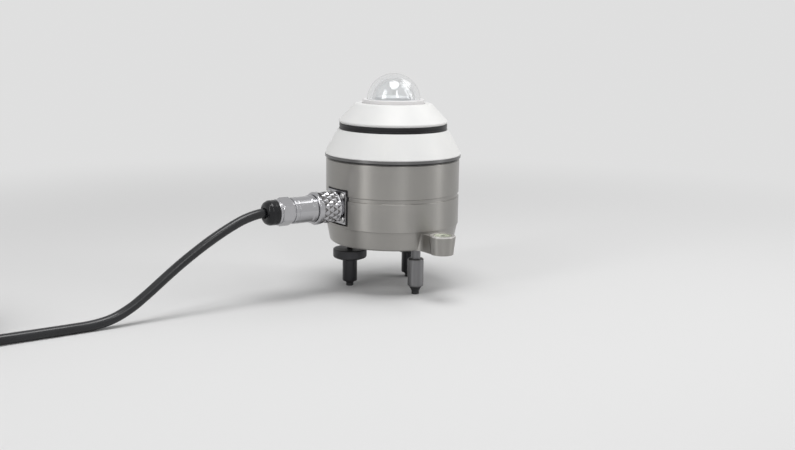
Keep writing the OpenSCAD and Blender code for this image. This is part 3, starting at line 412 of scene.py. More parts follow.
def turned_mesh(outline, segments=144):
    """Points and faces of a closed half section turned about Z; a point on the axis is a pole."""
    points, faces, rings = [], [], []
    for r, z in outline:
        if r < ON_AXIS:
            rings.append([len(points)])
            points.append((0.0, 0.0, z))
        else:
            first = len(points)
            for k in range(segments):
                a = 2 * math.pi * k / segments
                points.append((r * math.cos(a), r * math.sin(a), z))
            rings.append(list(range(first, first + segments)))
    for i, ring in enumerate(rings):
        other = rings[(i + 1) % len(rings)]
        if len(ring) == 1 and len(other) == 1:
            continue
        for k in range(segments):
            m = (k + 1) % segments
            if len(ring) == 1:
                faces.append((ring[0], other[m], other[k]))
            elif len(other) == 1:
                faces.append((ring[k], ring[m], other[0]))
            else:
                faces.append((ring[k], ring[m], other[m], other[k]))
    return np.array(points), faces


def half_section(corners, steps=4):
    """The softened outline of a turned piece, running the way that makes its faces look out."""
    outline = softened(corners, steps)
    area = sum(outline[i - 1][0] * p[1] - p[0] * outline[i - 1][1] for i, p in enumerate(outline)) / 2
    return outline if area > 0 else outline[::-1]


def turned(name, corners, body, slot, place=IN_PLACE, segments=144, steps=4, at=(0.0, 0.0)):
    """A turned piece. corners go round its half section as (r, z, corner radius)."""
    points, faces = turned_mesh(half_section(corners, steps), segments)
    return add_piece(name, moved(points, place), faces, body, slot, at=at)


def moved(points, place):
    """Points taken through a matrix."""
    m = np.array(place)
    return np.asarray(points) @ m[:3, :3].T + m[:3, 3]


def joined(meshes):
    """Several (points, faces) as one."""
    points, faces, first = [], [], 0
    for p, f in meshes:
        points.append(np.asarray(p))
        faces += [tuple(i + first for i in face) for face in f]
        first += len(p)
    return np.concatenate(points), faces


def smooth_line(points, per):
    """A Catmull-Rom curve through points, with per steps between each two."""
    p = np.array(points, float)
    p = np.vstack([2 * p[0] - p[1], p, 2 * p[-1] - p[-2]])
    out = []
    for i in range(1, len(p) - 2):
        a, b, c, d = p[i - 1:i + 3]
        for k in range(per):
            t = k / per
            out.append(0.5 * (2 * b + (c - a) * t + (2 * a - 5 * b + 4 * c - d) * t ** 2
                              + (3 * b - a - 3 * c + d) * t ** 3))
    out.append(p[-2])
    return np.array(out)


def tube_faces(rows, columns):
    """Faces of a closed tube, whose points come row by row, each row round the tube."""
    faces = []
    for i in range(rows - 1):
        for k in range(columns):
            a, b = i * columns + k, i * columns + (k + 1) % columns
            faces.append((a, b, b + columns, a + columns))
    last = (rows - 1) * columns
    return faces + [tuple(range(columns - 1, -1, -1)), tuple(range(last, last + columns))]


def tube_mesh(line, radius, sides):
    """Points and faces of a closed tube along a line."""
    line = np.asarray(line, float)
    way = np.gradient(line, axis=0)
    way /= np.linalg.norm(way, axis=1)[:, None]
    side = np.cross(way[0], (0.0, 0.0, 1.0))
    if np.linalg.norm(side) < 0.1:
        side = np.array([1.0, 0.0, 0.0])
    points = []
    for p, w in zip(line, way):
        side = side - w * (side @ w)
        side /= np.linalg.norm(side)
        up = np.cross(w, side)
        for k in range(sides):
            a = 2 * math.pi * k / sides
            points.append(p + radius * (math.cos(a) * side + math.sin(a) * up))
    return np.array(points), tube_faces(len(line), sides)


# The lead: its free stretch as distance along -X and height, then its coil

LEAD_ROUTE = [
    (100, 62), (107, 62), (118, 59.3), (130, 54.1), (142, 47.8), (153, 41.2), (164, 34),
    (175, 26.1), (186, 18), (197, 10.8), (209, 5.6), (222, 3.5), (236, 3.25), (252, 3.25),
    (268, 3.3), (284, 3.5), (300, 3.8), (315, 4.2), (323.5, 4.25),
]
LEAD_D = 6.5
COIL_R = 55.0
COIL_PITCH = 7.1
COIL_RISE = 7.0
LAYER_TURNS = 5
COIL_TURNS = 19.25
COIL_STEPS = 48
# Where the coil starts round its centre, in degrees
COIL_START = -90
# Turns that the coil takes to climb to its next layer
CLIMB_TURNS = 0.5
COIL_CENTRE = (-LEAD_ROUTE[-1][0] - LEAD_D, COIL_R)
ROUTE_STEPS = 6
BEVEL_STEPS = 5


def coil_place(t):
    """(radius, angle, height) of the coil after t turns; its layers run inwards and outwards."""
    n = LAYER_TURNS
    u = t % (2 * n)
    if u <= n - CLIMB_TURNS / 2:
        steps = u
    elif u <= 2 * n - CLIMB_TURNS / 2:
        steps = 2 * n - CLIMB_TURNS - u
    else:
        steps = u - 2 * n
    layer = math.floor(t / n)
    climb = max(0.0, (t - layer * n - n) / CLIMB_TURNS + 1)
    return (COIL_R - COIL_PITCH * steps, math.radians(COIL_START - 360 * t),
            LEAD_ROUTE[-1][1] + COIL_RISE * (layer + climb))


def coil_point(t):
    """The place of the coil's middle line after t turns."""
    r, a, z = coil_place(t)
    return (COIL_CENTRE[0] + r * math.cos(a), COIL_CENTRE[1] + r * math.sin(a), z)


def lead_points():
    """The lead's middle line, with a short straight end, and the end's direction."""
    free = smooth_line([(-x, 0.0, z) for x, z in LEAD_ROUTE], ROUTE_STEPS)
    turns = [coil_point(i / COIL_STEPS) for i in range(int(COIL_TURNS * COIL_STEPS) + 1)]
    angle = coil_place(COIL_TURNS)[1] - math.pi / 2
    end = np.array(turns[-1]) + LEAD_D * np.array([math.cos(angle), math.sin(angle), 0.0])
    return np.vstack([free, turns, [end]]), angle


def make_lead():
    """The lead, its length, and the place and direction of its end."""
    points, angle = lead_points()
    curve = bpy.data.curves.new("lead", "CURVE")
    curve.dimensions = "3D"
    curve.bevel_depth = LEAD_D / 2 * MM
    curve.bevel_resolution = BEVEL_STEPS
    curve.use_fill_caps = True
    line = curve.splines.new("POLY")
    line.points.add(len(points) - 1)
    line.points.foreach_set("co", np.c_[points * MM, np.ones(len(points))].ravel())
    line.use_smooth = True
    curve.materials.append(LOOKS["cable_jacket"].material)
    lead = bpy.data.objects.new("lead", curve)
    scene.collection.objects.link(lead)
    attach(lead, ROOT)
    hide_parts("cable", "cable_coil")
    length = float(np.linalg.norm(np.diff(points, axis=0), axis=1).sum())
    return lead, length, points[-1], angle


lead, LEAD_LENGTH, LEAD_END, LEAD_ANGLE = make_lead()


# Straps round the coil

TIE_ANGLES = (90, 225, 330)
TIE_W = 5.0
TIE_T = 0.75
TIE_GAP = 0.15
# A strap's section: how far across its width, and how far its top face is lowered there, as shares
TIE_SECTION = [(-0.5, 0.3), (-0.44, 0.06), (0.0, 0.0), (0.44, 0.06), (0.5, 0.3)]
# The under face of a strap follows its top face by this share
TIE_UNDER_SHARE = 0.3
TIE_HEAD = (5.2, 6.4, 3.2)
TIE_HEAD_SINK = 0.3
TIE_HEAD_EDGE = 0.6
TIE_TAIL = 7.0
TIE_TAIL_SHARE = 0.9
TIE_TAIL_OUT = 0.6
TIE_TAIL_SINK = 1.2
TIE_TAIL_EDGE = 0.25
# Points this close under a strap's highest one are on its top
TOP_BAND = 0.05


def hull_2d(points):
    """The convex outline round points of a plane."""
    points = sorted(map(tuple, points))

    def chain(run):
        out = []
        for p in run:
            while len(out) > 1 and ((out[-1][0] - out[-2][0]) * (p[1] - out[-2][1])
                                    - (out[-1][1] - out[-2][1]) * (p[0] - out[-2][0])) <= 0:
                out.pop()
            out.append(p)
        return out[:-1]

    return np.array(chain(points) + chain(points[::-1]))


def tight_line(centres, gap, sides=40):
    """A closed line drawn tight round circles, a gap away from them."""
    reach = LEAD_D / 2 + gap
    ring = [(x + reach * math.cos(2 * math.pi * k / sides), y + reach * math.sin(2 * math.pi * k / sides))
            for x, y in centres for k in range(sides)]
    return hull_2d(ring)


def strap_mesh(turns):
    """A band round the turns, in the plane of r and z, and the place of its top."""
    inner = tight_line(turns, TIE_GAP)
    middle = inner.mean(axis=0)
    n = len(inner)
    points, rows = [], []
    way = np.roll(inner, -1, axis=0) - np.roll(inner, 1, axis=0)
    out = np.c_[way[:, 1], -way[:, 0]] / np.linalg.norm(way, axis=1)[:, None]
    out *= np.sign(((inner - middle) * out).sum(1))[:, None]
    section = [(w * TIE_W, TIE_T * (1 - d)) for w, d in TIE_SECTION]
    section += [(w * TIE_W, TIE_T * d * TIE_UNDER_SHARE) for w, d in TIE_SECTION[::-1]]
    for w, h in section:
        rows.append(len(points))
        points += [(p[0], w, p[1]) for p in inner + out * h]
    faces = []
    for i, row in enumerate(rows):
        other = rows[(i + 1) % len(rows)]
        faces += [(row + k, row + (k + 1) % n, other + (k + 1) % n, other + k) for k in range(n)]
    highest = inner[:, 1].max()
    on_top = inner[inner[:, 1] > highest - TOP_BAND]
    return np.array(points), faces, (on_top[:, 0].mean(), highest + TIE_T)


def soft_box(size, centre, radius, steps=3):
    """A block with rounded edges."""
    bm = bmesh.new()
    bmesh.ops.create_cube(bm, size=1.0)
    bmesh.ops.scale(bm, vec=size, verts=bm.verts)
    bmesh.ops.bevel(bm, geom=bm.edges[:], offset=radius, segments=steps, profile=0.5, affect="EDGES")
    bmesh.ops.translate(bm, vec=centre, verts=bm.verts)
    bm.verts.index_update()
    points = np.array([v.co[:] for v in bm.verts])
    faces = [tuple(v.index for v in f.verts) for f in bm.faces]
    bm.free()
    return points, faces


def make_ties():
    """Each strap with its head and its cut tail, all in one piece."""
    meshes = []
    head_h = TIE_HEAD[2]
    tail = (TIE_T * TIE_TAIL_SHARE, TIE_W * TIE_TAIL_SHARE, TIE_TAIL)
    for a in TIE_ANGLES:
        share = ((COIL_START - a) % 360) / 360
        turns = [coil_place(k + share) for k in range(int(COIL_TURNS - share) + 1)]
        points, faces, (x, top) = strap_mesh([(r, z) for r, _, z in turns])
        head_at = (x, 0, top + head_h / 2 - TIE_HEAD_SINK)
        tail_at = (x + TIE_TAIL_OUT, 0, top + head_h + TIE_TAIL / 2 - TIE_TAIL_SINK)
        whole, all_faces = joined([
            (points, faces), soft_box(TIE_HEAD, head_at, TIE_HEAD_EDGE),
            soft_box(tail, tail_at, TIE_TAIL_EDGE, 2)])
        spot = Matrix.Translation((*COIL_CENTRE, 0)) @ Matrix.Rotation(math.radians(a), 4, "Z")
        meshes.append((moved(whole, spot), all_faces))
    ties = add_piece("coil_straps", *joined(meshes), ROOT, "tie_nylon")
    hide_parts("coil_ties")
    return ties


ties = make_ties()


# Bare ends of the lead

SLEEVE_R = 3.6
SLEEVE_L = 12.0
WIRE_R = 0.8
WIRE_L = 20.0
WIRE_COUNT = 5
WIRE_FAN = 1.9
WIRE_DROP = 2.2
WIRE_START = 0.3
# How far a wire starts inside the sleeve, and how close to its neighbour there
WIRE_IN = 2.0
WIRE_IN_SHARE = 0.42
FERRULE_L = 6.0
CRIMPS_AT = (2.0, 3.2, 4.4)
CRIMP_W = 0.3
# A ferrule's outline as distance from the wire's end and radius: collar, then tube with its crimps
FERRULE = [(-1.2, 1.12), (-0.9, 1.2), (0.0, 1.2), (0.35, 0.72), (1.0, 0.66)]
FERRULE += [(x + d, r) for x in CRIMPS_AT for d, r in ((0.0, 0.62), (CRIMP_W, 0.68))]
FERRULE += [(FERRULE_L - 0.2, 0.64), (FERRULE_L, 0.5)]
WIRE_SLOTS = ("red_lead", "blue_lead", "grey_lead", "pale_seal", "black_resin")


def wire_line(k, steps=18):
    """Centre line of one bare lead, from inside the sleeve on."""
    from_middle = k - (WIRE_COUNT - 1) / 2
    out = [(SLEEVE_L - WIRE_IN, from_middle * WIRE_FAN * WIRE_IN_SHARE, 0.0)]
    for i in range(steps + 1):
        u = i / steps
        x = SLEEVE_L + WIRE_START + WIRE_L * u
        fan = from_middle * (WIRE_FAN / 2 + WIRE_FAN * u / 2)
        out.append((x, fan - x * x / (2 * COIL_R), -WIRE_DROP * u * u * (3 - 2 * u)))
    return np.array(out)


def make_lead_end():
    """Sleeve, bare wires and their ferrules, in line with the lead's end."""
    place = Matrix.Translation(LEAD_END) @ Matrix.Rotation(LEAD_ANGLE, 4, "Z")
    lay_down = place @ Matrix.Rotation(math.pi / 2, 4, "Y")
    sleeve = turned("lead_sleeve_skin", [
        (0, 0.0, 0), (SLEEVE_R, 0.0, 0.4), (SLEEVE_R + 0.05, 1.5, 1), (SLEEVE_R - 0.05, SLEEVE_L * 0.6, 2),
        (SLEEVE_R - 0.1, SLEEVE_L - 1.2, 1), (SLEEVE_R - 0.8, SLEEVE_L, 0.5), (0, SLEEVE_L, 0)],
        ROOT, "boot_rubber", lay_down, segments=64)
    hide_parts("lead_sleeve")
    tubes, crimps = [], []
    for k in range(WIRE_COUNT):
        line = wire_line(k)
        tubes.append(tube_mesh(line, WIRE_R, sides=16))
        way = (line[-1] - line[-2]) / np.linalg.norm(line[-1] - line[-2])
        crimps.append(crimp_mesh(line[-1], way, FERRULE))
    points, faces = joined(tubes)
    wires = add_piece("bare_wires", moved(points, place), faces, ROOT, "grey_lead")
    wires.data.materials.clear()
    for name in WIRE_SLOTS:
        wires.data.materials.append(LOOKS[name].material)
    slots = np.repeat(np.arange(WIRE_COUNT), [len(tube[1]) for tube in tubes])
    wires.data.polygons.foreach_set("material_index", slots)
    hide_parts("lead_wires")
    points, faces = joined(crimps)
    ends = add_piece("wire_ferrules", moved(points, place), faces, ROOT, "steel_screw")
    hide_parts("lead_ferrules")
    return [sleeve, wires, ends]


def crimp_mesh(start, way, places, sides=16):
    """A closed turned shape along a straight way: (distance, radius) pairs."""
    side = np.cross(way, (0.0, 0.0, 1.0))
    side /= np.linalg.norm(side)
    up = np.cross(way, side)
    points = []
    for x, r in places:
        points += [start + way * x + r * (math.cos(a) * side + math.sin(a) * up)
                   for a in np.linspace(0, 2 * math.pi, sides, endpoint=False)]
    return np.array(points), tube_faces(len(places), sides)


lead_end = make_lead_end()


# Sun shade

SHADE_Z, BAND_Z = span("lower_shade", "z")
UPPER_Z, TOP_Z = span("upper_shade", "z")
RIM_R = span("lower_shade", "x")[1]
BAND_R = span("shade_band", "x")[1]
COLLAR_R = span("dome_collar", "x")[1]
# How far the shades stand out past the band, and how far the hole stays off the collar
LOWER_LIP = 1.0
UPPER_LIP = 0.7
HOLE_GAP = 0.5
LOWER_TOP_R = BAND_R + LOWER_LIP
UPPER_LOW_R = BAND_R + UPPER_LIP
UPPER_TOP_R = 27.0
SHADE_HOLE_R = COLLAR_R + HOLE_GAP
# Wall of the shades, and of what laps inside the band
SHADE_WALL = 2.2
LAP_WALL = 1.4
BAND_BORE_R = BAND_R - SHADE_WALL - LAP_WALL
# The upper shade is thicker under its flat top
TOP_WALL = 2.64
TOP_WALL_R = 24.76
# The groove in the dark band, from the band's foot up
GROOVE_LOW = 1.25
GROOVE_HIGH = 2.15
GROOVE_SLOPE = 0.25
GROOVE_DEPTH = 0.35
SHADE_SEGMENTS = 192


def make_shade():
    lower = turned("lower_shade_shell", [
        (RIM_R - SHADE_WALL, SHADE_Z, 0.3), (RIM_R, SHADE_Z, 0.35), (RIM_R, SHADE_Z + 0.7, 0.6),
        (LOWER_TOP_R, BAND_Z, 0.7), (BAND_BORE_R, BAND_Z, 0.2), (BAND_BORE_R, BAND_Z - SHADE_WALL, 0.2),
        (LOWER_TOP_R - SHADE_WALL, BAND_Z - 1.5 * SHADE_WALL, 0.5)],
        "sun_shade", "white_shade", segments=SHADE_SEGMENTS)
    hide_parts("lower_shade")
    groove_r = BAND_R - GROOVE_DEPTH
    low, high = BAND_Z + GROOVE_LOW, BAND_Z + GROOVE_HIGH
    band = turned("band_ring", [
        (BAND_BORE_R, BAND_Z, 0), (BAND_R, BAND_Z, 0.15), (BAND_R, low, 0.15),
        (groove_r, low + GROOVE_SLOPE, 0.15), (groove_r, high - GROOVE_SLOPE, 0.15), (BAND_R, high, 0.15),
        (BAND_R, UPPER_Z, 0.2), (BAND_BORE_R, UPPER_Z, 0)],
        "sun_shade", "black_band", segments=SHADE_SEGMENTS)
    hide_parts("shade_band")
    upper = turned("upper_shade_shell", [
        (BAND_BORE_R, UPPER_Z, 0.2), (UPPER_LOW_R - 1.3, UPPER_Z, 1.0), (UPPER_LOW_R, UPPER_Z + 1.5, 1.3),
        (UPPER_TOP_R, TOP_Z - 0.4, 2.4), (UPPER_TOP_R - 1.6, TOP_Z, 1.6), (SHADE_HOLE_R, TOP_Z, 0.25),
        (SHADE_HOLE_R, TOP_Z - TOP_WALL, 0.2), (TOP_WALL_R, TOP_Z - TOP_WALL, 0.5),
        (BAND_BORE_R, UPPER_Z + SHADE_WALL, 0.3)],
        "sun_shade", "white_shade", segments=SHADE_SEGMENTS, steps=6)
    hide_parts("upper_shade")


make_shade()


# Domes and collar

COLLAR_LOW_Z, COLLAR_Z = span("dome_collar", "z")
COLLAR_BORE_R = 12.95
OUTER_DOME_WALL = 2.0
INNER_DOME_WALL = 1.6
DOME_GAP = 0.05
DOME_SEGMENTS = 160
OUTER_SEAT = 2.0
INNER_SEAT = 1.7


def dome_outline(r, wall, low, top, steps=40):
    """A half section of a dome with a short straight skirt under it."""
    centre = top - r
    outer = [(r * math.cos(a), centre + r * math.sin(a)) for a in np.linspace(0, math.pi / 2, steps)]
    inner = [((r - wall) * math.cos(a), centre + (r - wall) * math.sin(a))
             for a in np.linspace(math.pi / 2, 0, steps)]
    outer[-1], inner[0] = (0.0, centre + r), (0.0, centre + r - wall)
    return [(r, low), *outer, *inner, (r - wall, low)]


def make_dome(name, node, wall):
    """A glass dome over a packed one; it returns its radius."""
    r = span(node, "x")[1]
    points, faces = turned_mesh(dome_outline(r, wall, *span(node, "z")), DOME_SEGMENTS)
    dome = add_piece(name, points, faces, ROOT, "dome_glass", even=False)
    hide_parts(node)
    return r


def make_top():
    outer_dome_r = make_dome("outer_dome_glass", "outer_dome", OUTER_DOME_WALL)
    inner_dome_r = make_dome("inner_dome_glass", "inner_dome", INNER_DOME_WALL)
    outer_r = outer_dome_r + DOME_GAP
    inside_r = outer_dome_r - OUTER_DOME_WALL - DOME_GAP
    inner_r = inner_dome_r + DOME_GAP
    outer_floor, inner_floor = COLLAR_Z - OUTER_SEAT, COLLAR_Z - INNER_SEAT
    collar = turned("collar_ring", [
        (COLLAR_BORE_R, COLLAR_LOW_Z, 0.1), (COLLAR_R, COLLAR_LOW_Z, 0.2), (COLLAR_R, COLLAR_Z, 0.45),
        (outer_r, COLLAR_Z, 0.15), (outer_r, outer_floor, 0), (inside_r, outer_floor, 0),
        (inside_r, COLLAR_Z, 0.15), (inner_r, COLLAR_Z, 0.15), (inner_r, inner_floor, 0),
        (COLLAR_BORE_R, inner_floor, 0.1)],
        ROOT, "white_collar", segments=SHADE_SEGMENTS)
    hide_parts("dome_collar")


make_top()


# Feet: two that level the instrument, and a fixed one

FOOT_AT = {"left": (-25.98, 15.0), "right": (25.98, 15.0)}
PITCH = 0.8
# Steepness of the thread's sides, from root to crest over a turn
THREAD_SLOPE = 2.9
STEM_R = 2.1
STEM_ROOT = 1.62
STEM_SINK = 0.2
POST_R = 5.25
POST_LOW, STEM_TOP = span("left_foot_screw", "z")
POST_TOP, WHEEL_TOP = span("left_foot_wheel", "z")
POST = [(0, POST_LOW, 0), (2.9, POST_LOW, 0.2), (3.3, 3.1, 0.1), (5.0, 3.6, 0.3), (POST_R, 4.2, 0.3),
        (POST_R, POST_TOP, 0.1), (0, POST_TOP, 0)]
WHEEL_R = 12.1
WHEEL_BORE_R = 2.2
WHEEL_LIFT = 0.02
WHEEL_LOW = POST_TOP + WHEEL_LIFT
WHEEL = [(WHEEL_BORE_R, WHEEL_LOW, 0.1), (7.25, WHEEL_LOW, 0.3), (11.6, 21.0, 0.8), (WHEEL_R, 21.9, 0.8),
         (WHEEL_R, 26.7, 0.6), (11.5, WHEEL_TOP, 0.5), (WHEEL_BORE_R, WHEEL_TOP, 0.1)]


def thread_mesh(z0, z1, sides=40, steps=10):
    """A closed right-hand thread with tapered ends."""
    rows = int((z1 - z0) / PITCH * steps)
    points = []
    for i in range(rows + 1):
        z = z0 + (z1 - z0) * i / rows
        ends = min(1.0, (z - z0) / PITCH, (z1 - z) / PITCH)
        for k in range(sides):
            turn = (z / PITCH - k / sides) % 1.0
            crest = min(1.0, max(0.0, THREAD_SLOPE * (0.5 - abs(turn - 0.5))))
            r = STEM_ROOT + (STEM_R - STEM_ROOT) * crest * ends
            a = 2 * math.pi * k / sides
            points.append((r * math.cos(a), r * math.sin(a), z))
    return np.array(points), tube_faces(rows + 1, sides)


def make_foot(side):
    """The post with its stem in one piece, and the wheel between them."""
    place = Matrix.Translation((*FOOT_AT[side], 0))
    stem = thread_mesh(WHEEL_TOP - STEM_SINK, STEM_TOP)
    points, faces = joined([turned_mesh(half_section(POST), segments=96), stem])
    body = side + "_foot_turning"
    screw = add_piece(side + "_stem", moved(points, place), faces, body, "dark_foot", at=FOOT_AT[side])
    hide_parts(side + "_foot_screw")
    wheel = turned(side + "_wheel", WHEEL, body, "dark_wheel", place, segments=128, at=FOOT_AT[side])
    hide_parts(side + "_foot_wheel")


FIXED_AT = (0.0, -30.0)
FIXED_R = 5.6
FIXED_LOW, STUD_TOP = span("fixed_foot", "z")
FIXED_SHOULDER = 25.6
STUD_R = 3.2
FIXED_POST = [(0, FIXED_LOW, 0), (4.7, FIXED_LOW, 0.2), (FIXED_R, 6.5, 0.4), (FIXED_R, 24.9, 0.35),
              (4.9, FIXED_SHOULDER, 0.3), (3.35, FIXED_SHOULDER, 0.1), (STUD_R, 26.1, 0.1),
              (STUD_R, STUD_TOP, 0.1), (0, STUD_TOP, 0)]


def make_fixed_foot():
    """The post with the stud that holds it."""
    place = Matrix.Translation((*FIXED_AT, 0))
    fixed = turned("fixed_post", FIXED_POST, ROOT, "foot_steel", place, at=FIXED_AT)
    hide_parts("fixed_foot")


for side in FOOT_AT:
    make_foot(side)
make_fixed_foot()


# Plug: pieces turned along -X at the socket's height. In their outlines the first number of a
# corner is its radius, and the second is its distance from the middle of the instrument.

ON_SOCKET = Matrix.Translation((0, 0, PLUG_Z)) @ Matrix.Rotation(math.radians(-90), 4, "Y")


def plug_reach(node):
    """Where a piece of the plug starts and ends, as distances from the instrument's middle."""
    low, high = span(node, "x")
    return -high, -low


def plug_radius(node):
    """Largest radius of a piece of the plug."""
    low, high = span(node, "z")
    return round((high - low) / 2, 3)


RING_START, RING_END = plug_reach("coupling_ring")
KNURL_END = 62.0
RING_RIM_R = plug_radius("coupling_ring")
RING_R = 10.95
RING_BORE_R = 9.0
SLEEVE_FIT_R = 8.4
KNURL_ROWS = 4
KNURL_ROUND = 14
KNURL_DEPTH = 0.85
# Share of a pyramid's half width that its flat tip takes
KNURL_FLAT = 0.14
KNURL_LINES = 76
KNURL_COLUMNS = 300
# Lengths over which the knurl fades in and out at its ends
FADE_IN_AT = 0.4
FADE_IN = 0.5
FADE_OUT = 0.45
FADE_REST = 0.02


def knurl_depth_at(x, angle):
    """Depth of the valleys between pyramids, which stand in staggered rows."""
    a = (x - RING_START) / (KNURL_END - RING_START) * KNURL_ROWS / 2
    b = angle / (2 * math.pi) * KNURL_ROUND
    offs = [abs(phase - round(phase)) for phase in (a + b, a - b)]
    return KNURL_DEPTH * max(0.0, 1.0 - 2 * min(offs) - KNURL_FLAT) / (1 - KNURL_FLAT)


def make_ring():
    """The locking ring: a grid round its knurl, closed by turned ends and a turned bore."""
    start = [(RING_BORE_R, KNURL_END - 1.8), (RING_BORE_R, RING_START + 0.25), (9.25, RING_START),
             (10.2, RING_START), (10.75, RING_START + 0.25)]
    knurl = [(RING_R, x) for x in np.linspace(RING_START + 0.55, KNURL_END, KNURL_LINES)]
    end = [(11.02, KNURL_END + 0.1), (RING_RIM_R, KNURL_END + 0.4), (RING_RIM_R, RING_END - 0.95),
           (11.2, RING_END - 0.7), (10.75, RING_END - 0.2), (10.45, RING_END), (8.55, RING_END),
           (SLEEVE_FIT_R, RING_END - 0.15), (SLEEVE_FIT_R, RING_END - 5.8), (RING_BORE_R, RING_END - 5.8)]
    outline = start + knurl + end
    n, columns = len(outline), KNURL_COLUMNS
    points, faces = [], []
    for i, (r, x) in enumerate(outline):
        fade = min(1.0, (x - RING_START - FADE_IN_AT) / FADE_IN, (KNURL_END - x) / FADE_OUT + FADE_REST)
        knurled = len(start) <= i < len(start) + len(knurl)
        following = (i + 1) % n
        for k in range(columns):
            a = 2 * math.pi * k / columns
            depth = knurl_depth_at(x, a) * max(0.0, fade) if knurled else 0.0
            points.append(((r - depth) * math.cos(a), (r - depth) * math.sin(a), x))
            m = (k + 1) % columns
            faces.append((i * columns + k, i * columns + m, following * columns + m, following * columns + k))
    ring = add_piece("knurled_ring", moved(points, ON_SOCKET), faces, "locking_ring", "bright_plug")
    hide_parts("coupling_ring")
    return ring


PLUG_BORE_R = 5.2
SLEEVE_INSERT_R = 6.35
SLEEVE_START, SLEEVE_END = plug_reach("plug_sleeve")
SLEEVE_STEP = 59.4
INSERT_END = plug_reach("plug_insert")[1]
SLEEVE_RIM_R = plug_radius("plug_sleeve")
SLEEVE_RIM = 66.3
SLEEVE_BODY_R = 9.0
CLAMP_START, CLAMP_END = plug_reach("clamp_ring")
CLAMP_R = plug_radius("clamp_ring")
BOOT_R = plug_radius("cable_boot")
BOOT_BORE_R = 3.37
BOOT_FLOOR = 100.0
BOOT_END = plug_reach("cable_boot")[1]


def make_sleeve():
    """The sleeve: bayonet end inside the ring, rim, body with a fine groove."""
    sleeve = turned("plug_shell", [
        (SLEEVE_INSERT_R, SLEEVE_START, 0.2), (7.45, SLEEVE_START, 0.3), (7.45, SLEEVE_STEP, 0.1),
        (8.35, SLEEVE_STEP, 0.1), (8.35, SLEEVE_RIM, 0), (SLEEVE_RIM_R, SLEEVE_RIM, 0.35),
        (SLEEVE_RIM_R, 69.0, 0.15), (SLEEVE_BODY_R, 69.9, 0.4), (SLEEVE_BODY_R, 79.6, 0.2), (8.8, 79.8, 0.1),
        (8.8, 80.2, 0.1), (SLEEVE_BODY_R, 80.4, 0.1), (SLEEVE_BODY_R, 82.4, 0.5), (8.6, SLEEVE_END, 0.2),
        (PLUG_BORE_R, SLEEVE_END, 0.1), (PLUG_BORE_R, INSERT_END, 0), (SLEEVE_INSERT_R, INSERT_END, 0)],
        ROOT, "bright_plug", ON_SOCKET)
    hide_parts("plug_sleeve")
    return sleeve


def make_clamp():
    clamp = turned("clamp_washer", [
        (PLUG_BORE_R, CLAMP_START, 0.1), (8.3, CLAMP_START, 0.2), (CLAMP_R, 92.95, 0.3), (CLAMP_R, 94.0, 0.3),
        (8.5, CLAMP_END, 0.2), (PLUG_BORE_R, CLAMP_END, 0.1)],
        ROOT, "bright_plug", ON_SOCKET)
    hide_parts("clamp_ring")
    return clamp


def make_boot():
    """The boot: a fine groove near its start, a domed end and a mouth round the lead."""
    boot = turned("cable_boot_skin", [
        (0, CLAMP_END, 0), (8.3, CLAMP_END, 0.2), (BOOT_R, 95.0, 0.4), (BOOT_R, 96.6, 0.15), (8.3, 96.8, 0.1),
        (8.3, 97.1, 0.1), (BOOT_R, 97.3, 0.15), (BOOT_R, 99.6, 2.4), (7.3, 102.0, 2.2),
        (5.3, BOOT_END, 1.4), (3.9, BOOT_END, 0.5), (BOOT_BORE_R, 102.4, 0.3), (BOOT_BORE_R, BOOT_FLOOR, 0),
        (0, BOOT_FLOOR, 0)],
        ROOT, "boot_rubber", ON_SOCKET, steps=6)
    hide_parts("cable_boot")
    return boot


# Screw heads of the socket

HEAD_R = 2.15
HEAD_H = 1.4
HEAD_SKIRT = 0.65
HEAD_ROUNDNESS = 2.4
CROSS_HALF = 0.27
CROSS_REACH = 1.25
CROSS_DEPTH = 0.9
CROSS_WALL = 0.07
# An arm's half width at the middle and its loss towards the tip, as shares of CROSS_HALF
CROSS_WIDE = 1.25
CROSS_TAPER = 0.45
# Powers that shape the floor of an arm towards its tip
CROSS_FALL = 3
CROSS_SOFT = 0.6


def cross_depth(x, y):
    """Depth of a cross recess whose arms get shallower outwards."""
    x, y = abs(x), abs(y)
    along, across = max(x, y), min(x, y)
    half = CROSS_HALF * (CROSS_WIDE - CROSS_TAPER * along / CROSS_REACH)
    wall = min(1.0, max(0.0, (half - across) / CROSS_WALL))
    floor = max(0.0, 1.0 - (along / CROSS_REACH) ** CROSS_FALL)
    return CROSS_DEPTH * min(wall, floor ** CROSS_SOFT)


def cross_head_mesh(rings=44, sides=96):
    """Points and faces of a domed head with a cross recess, seated at height 0."""
    points, faces = [(0.0, 0.0, HEAD_H - CROSS_DEPTH)], []
    levels = [(HEAD_R * (i + 1) / rings, None) for i in range(rings)] + [(HEAD_R, 0.0)]
    for r, flat in levels:
        for k in range(sides):
            a = 2 * math.pi * k / sides
            x, y = r * math.cos(a), r * math.sin(a)
            dome = HEAD_SKIRT + (HEAD_H - HEAD_SKIRT) * (1 - (r / HEAD_R) ** HEAD_ROUNDNESS)
            points.append((x, y, flat if flat is not None else dome - cross_depth(x, y)))
    for k in range(sides):
        faces.append((0, 1 + k, 1 + (k + 1) % sides))
        for i in range(rings):
            a, b = 1 + i * sides + k, 1 + i * sides + (k + 1) % sides
            faces.append((a, a + sides, b + sides, b))
    first = 1 + rings * sides
    faces.append(tuple(range(first + sides - 1, first - 1, -1)))
    return np.array(points), faces


FLANGE_X = 47.0
SCREW_AT = 8.2
SCREW_TURNS = (12, 57, 31, 74)


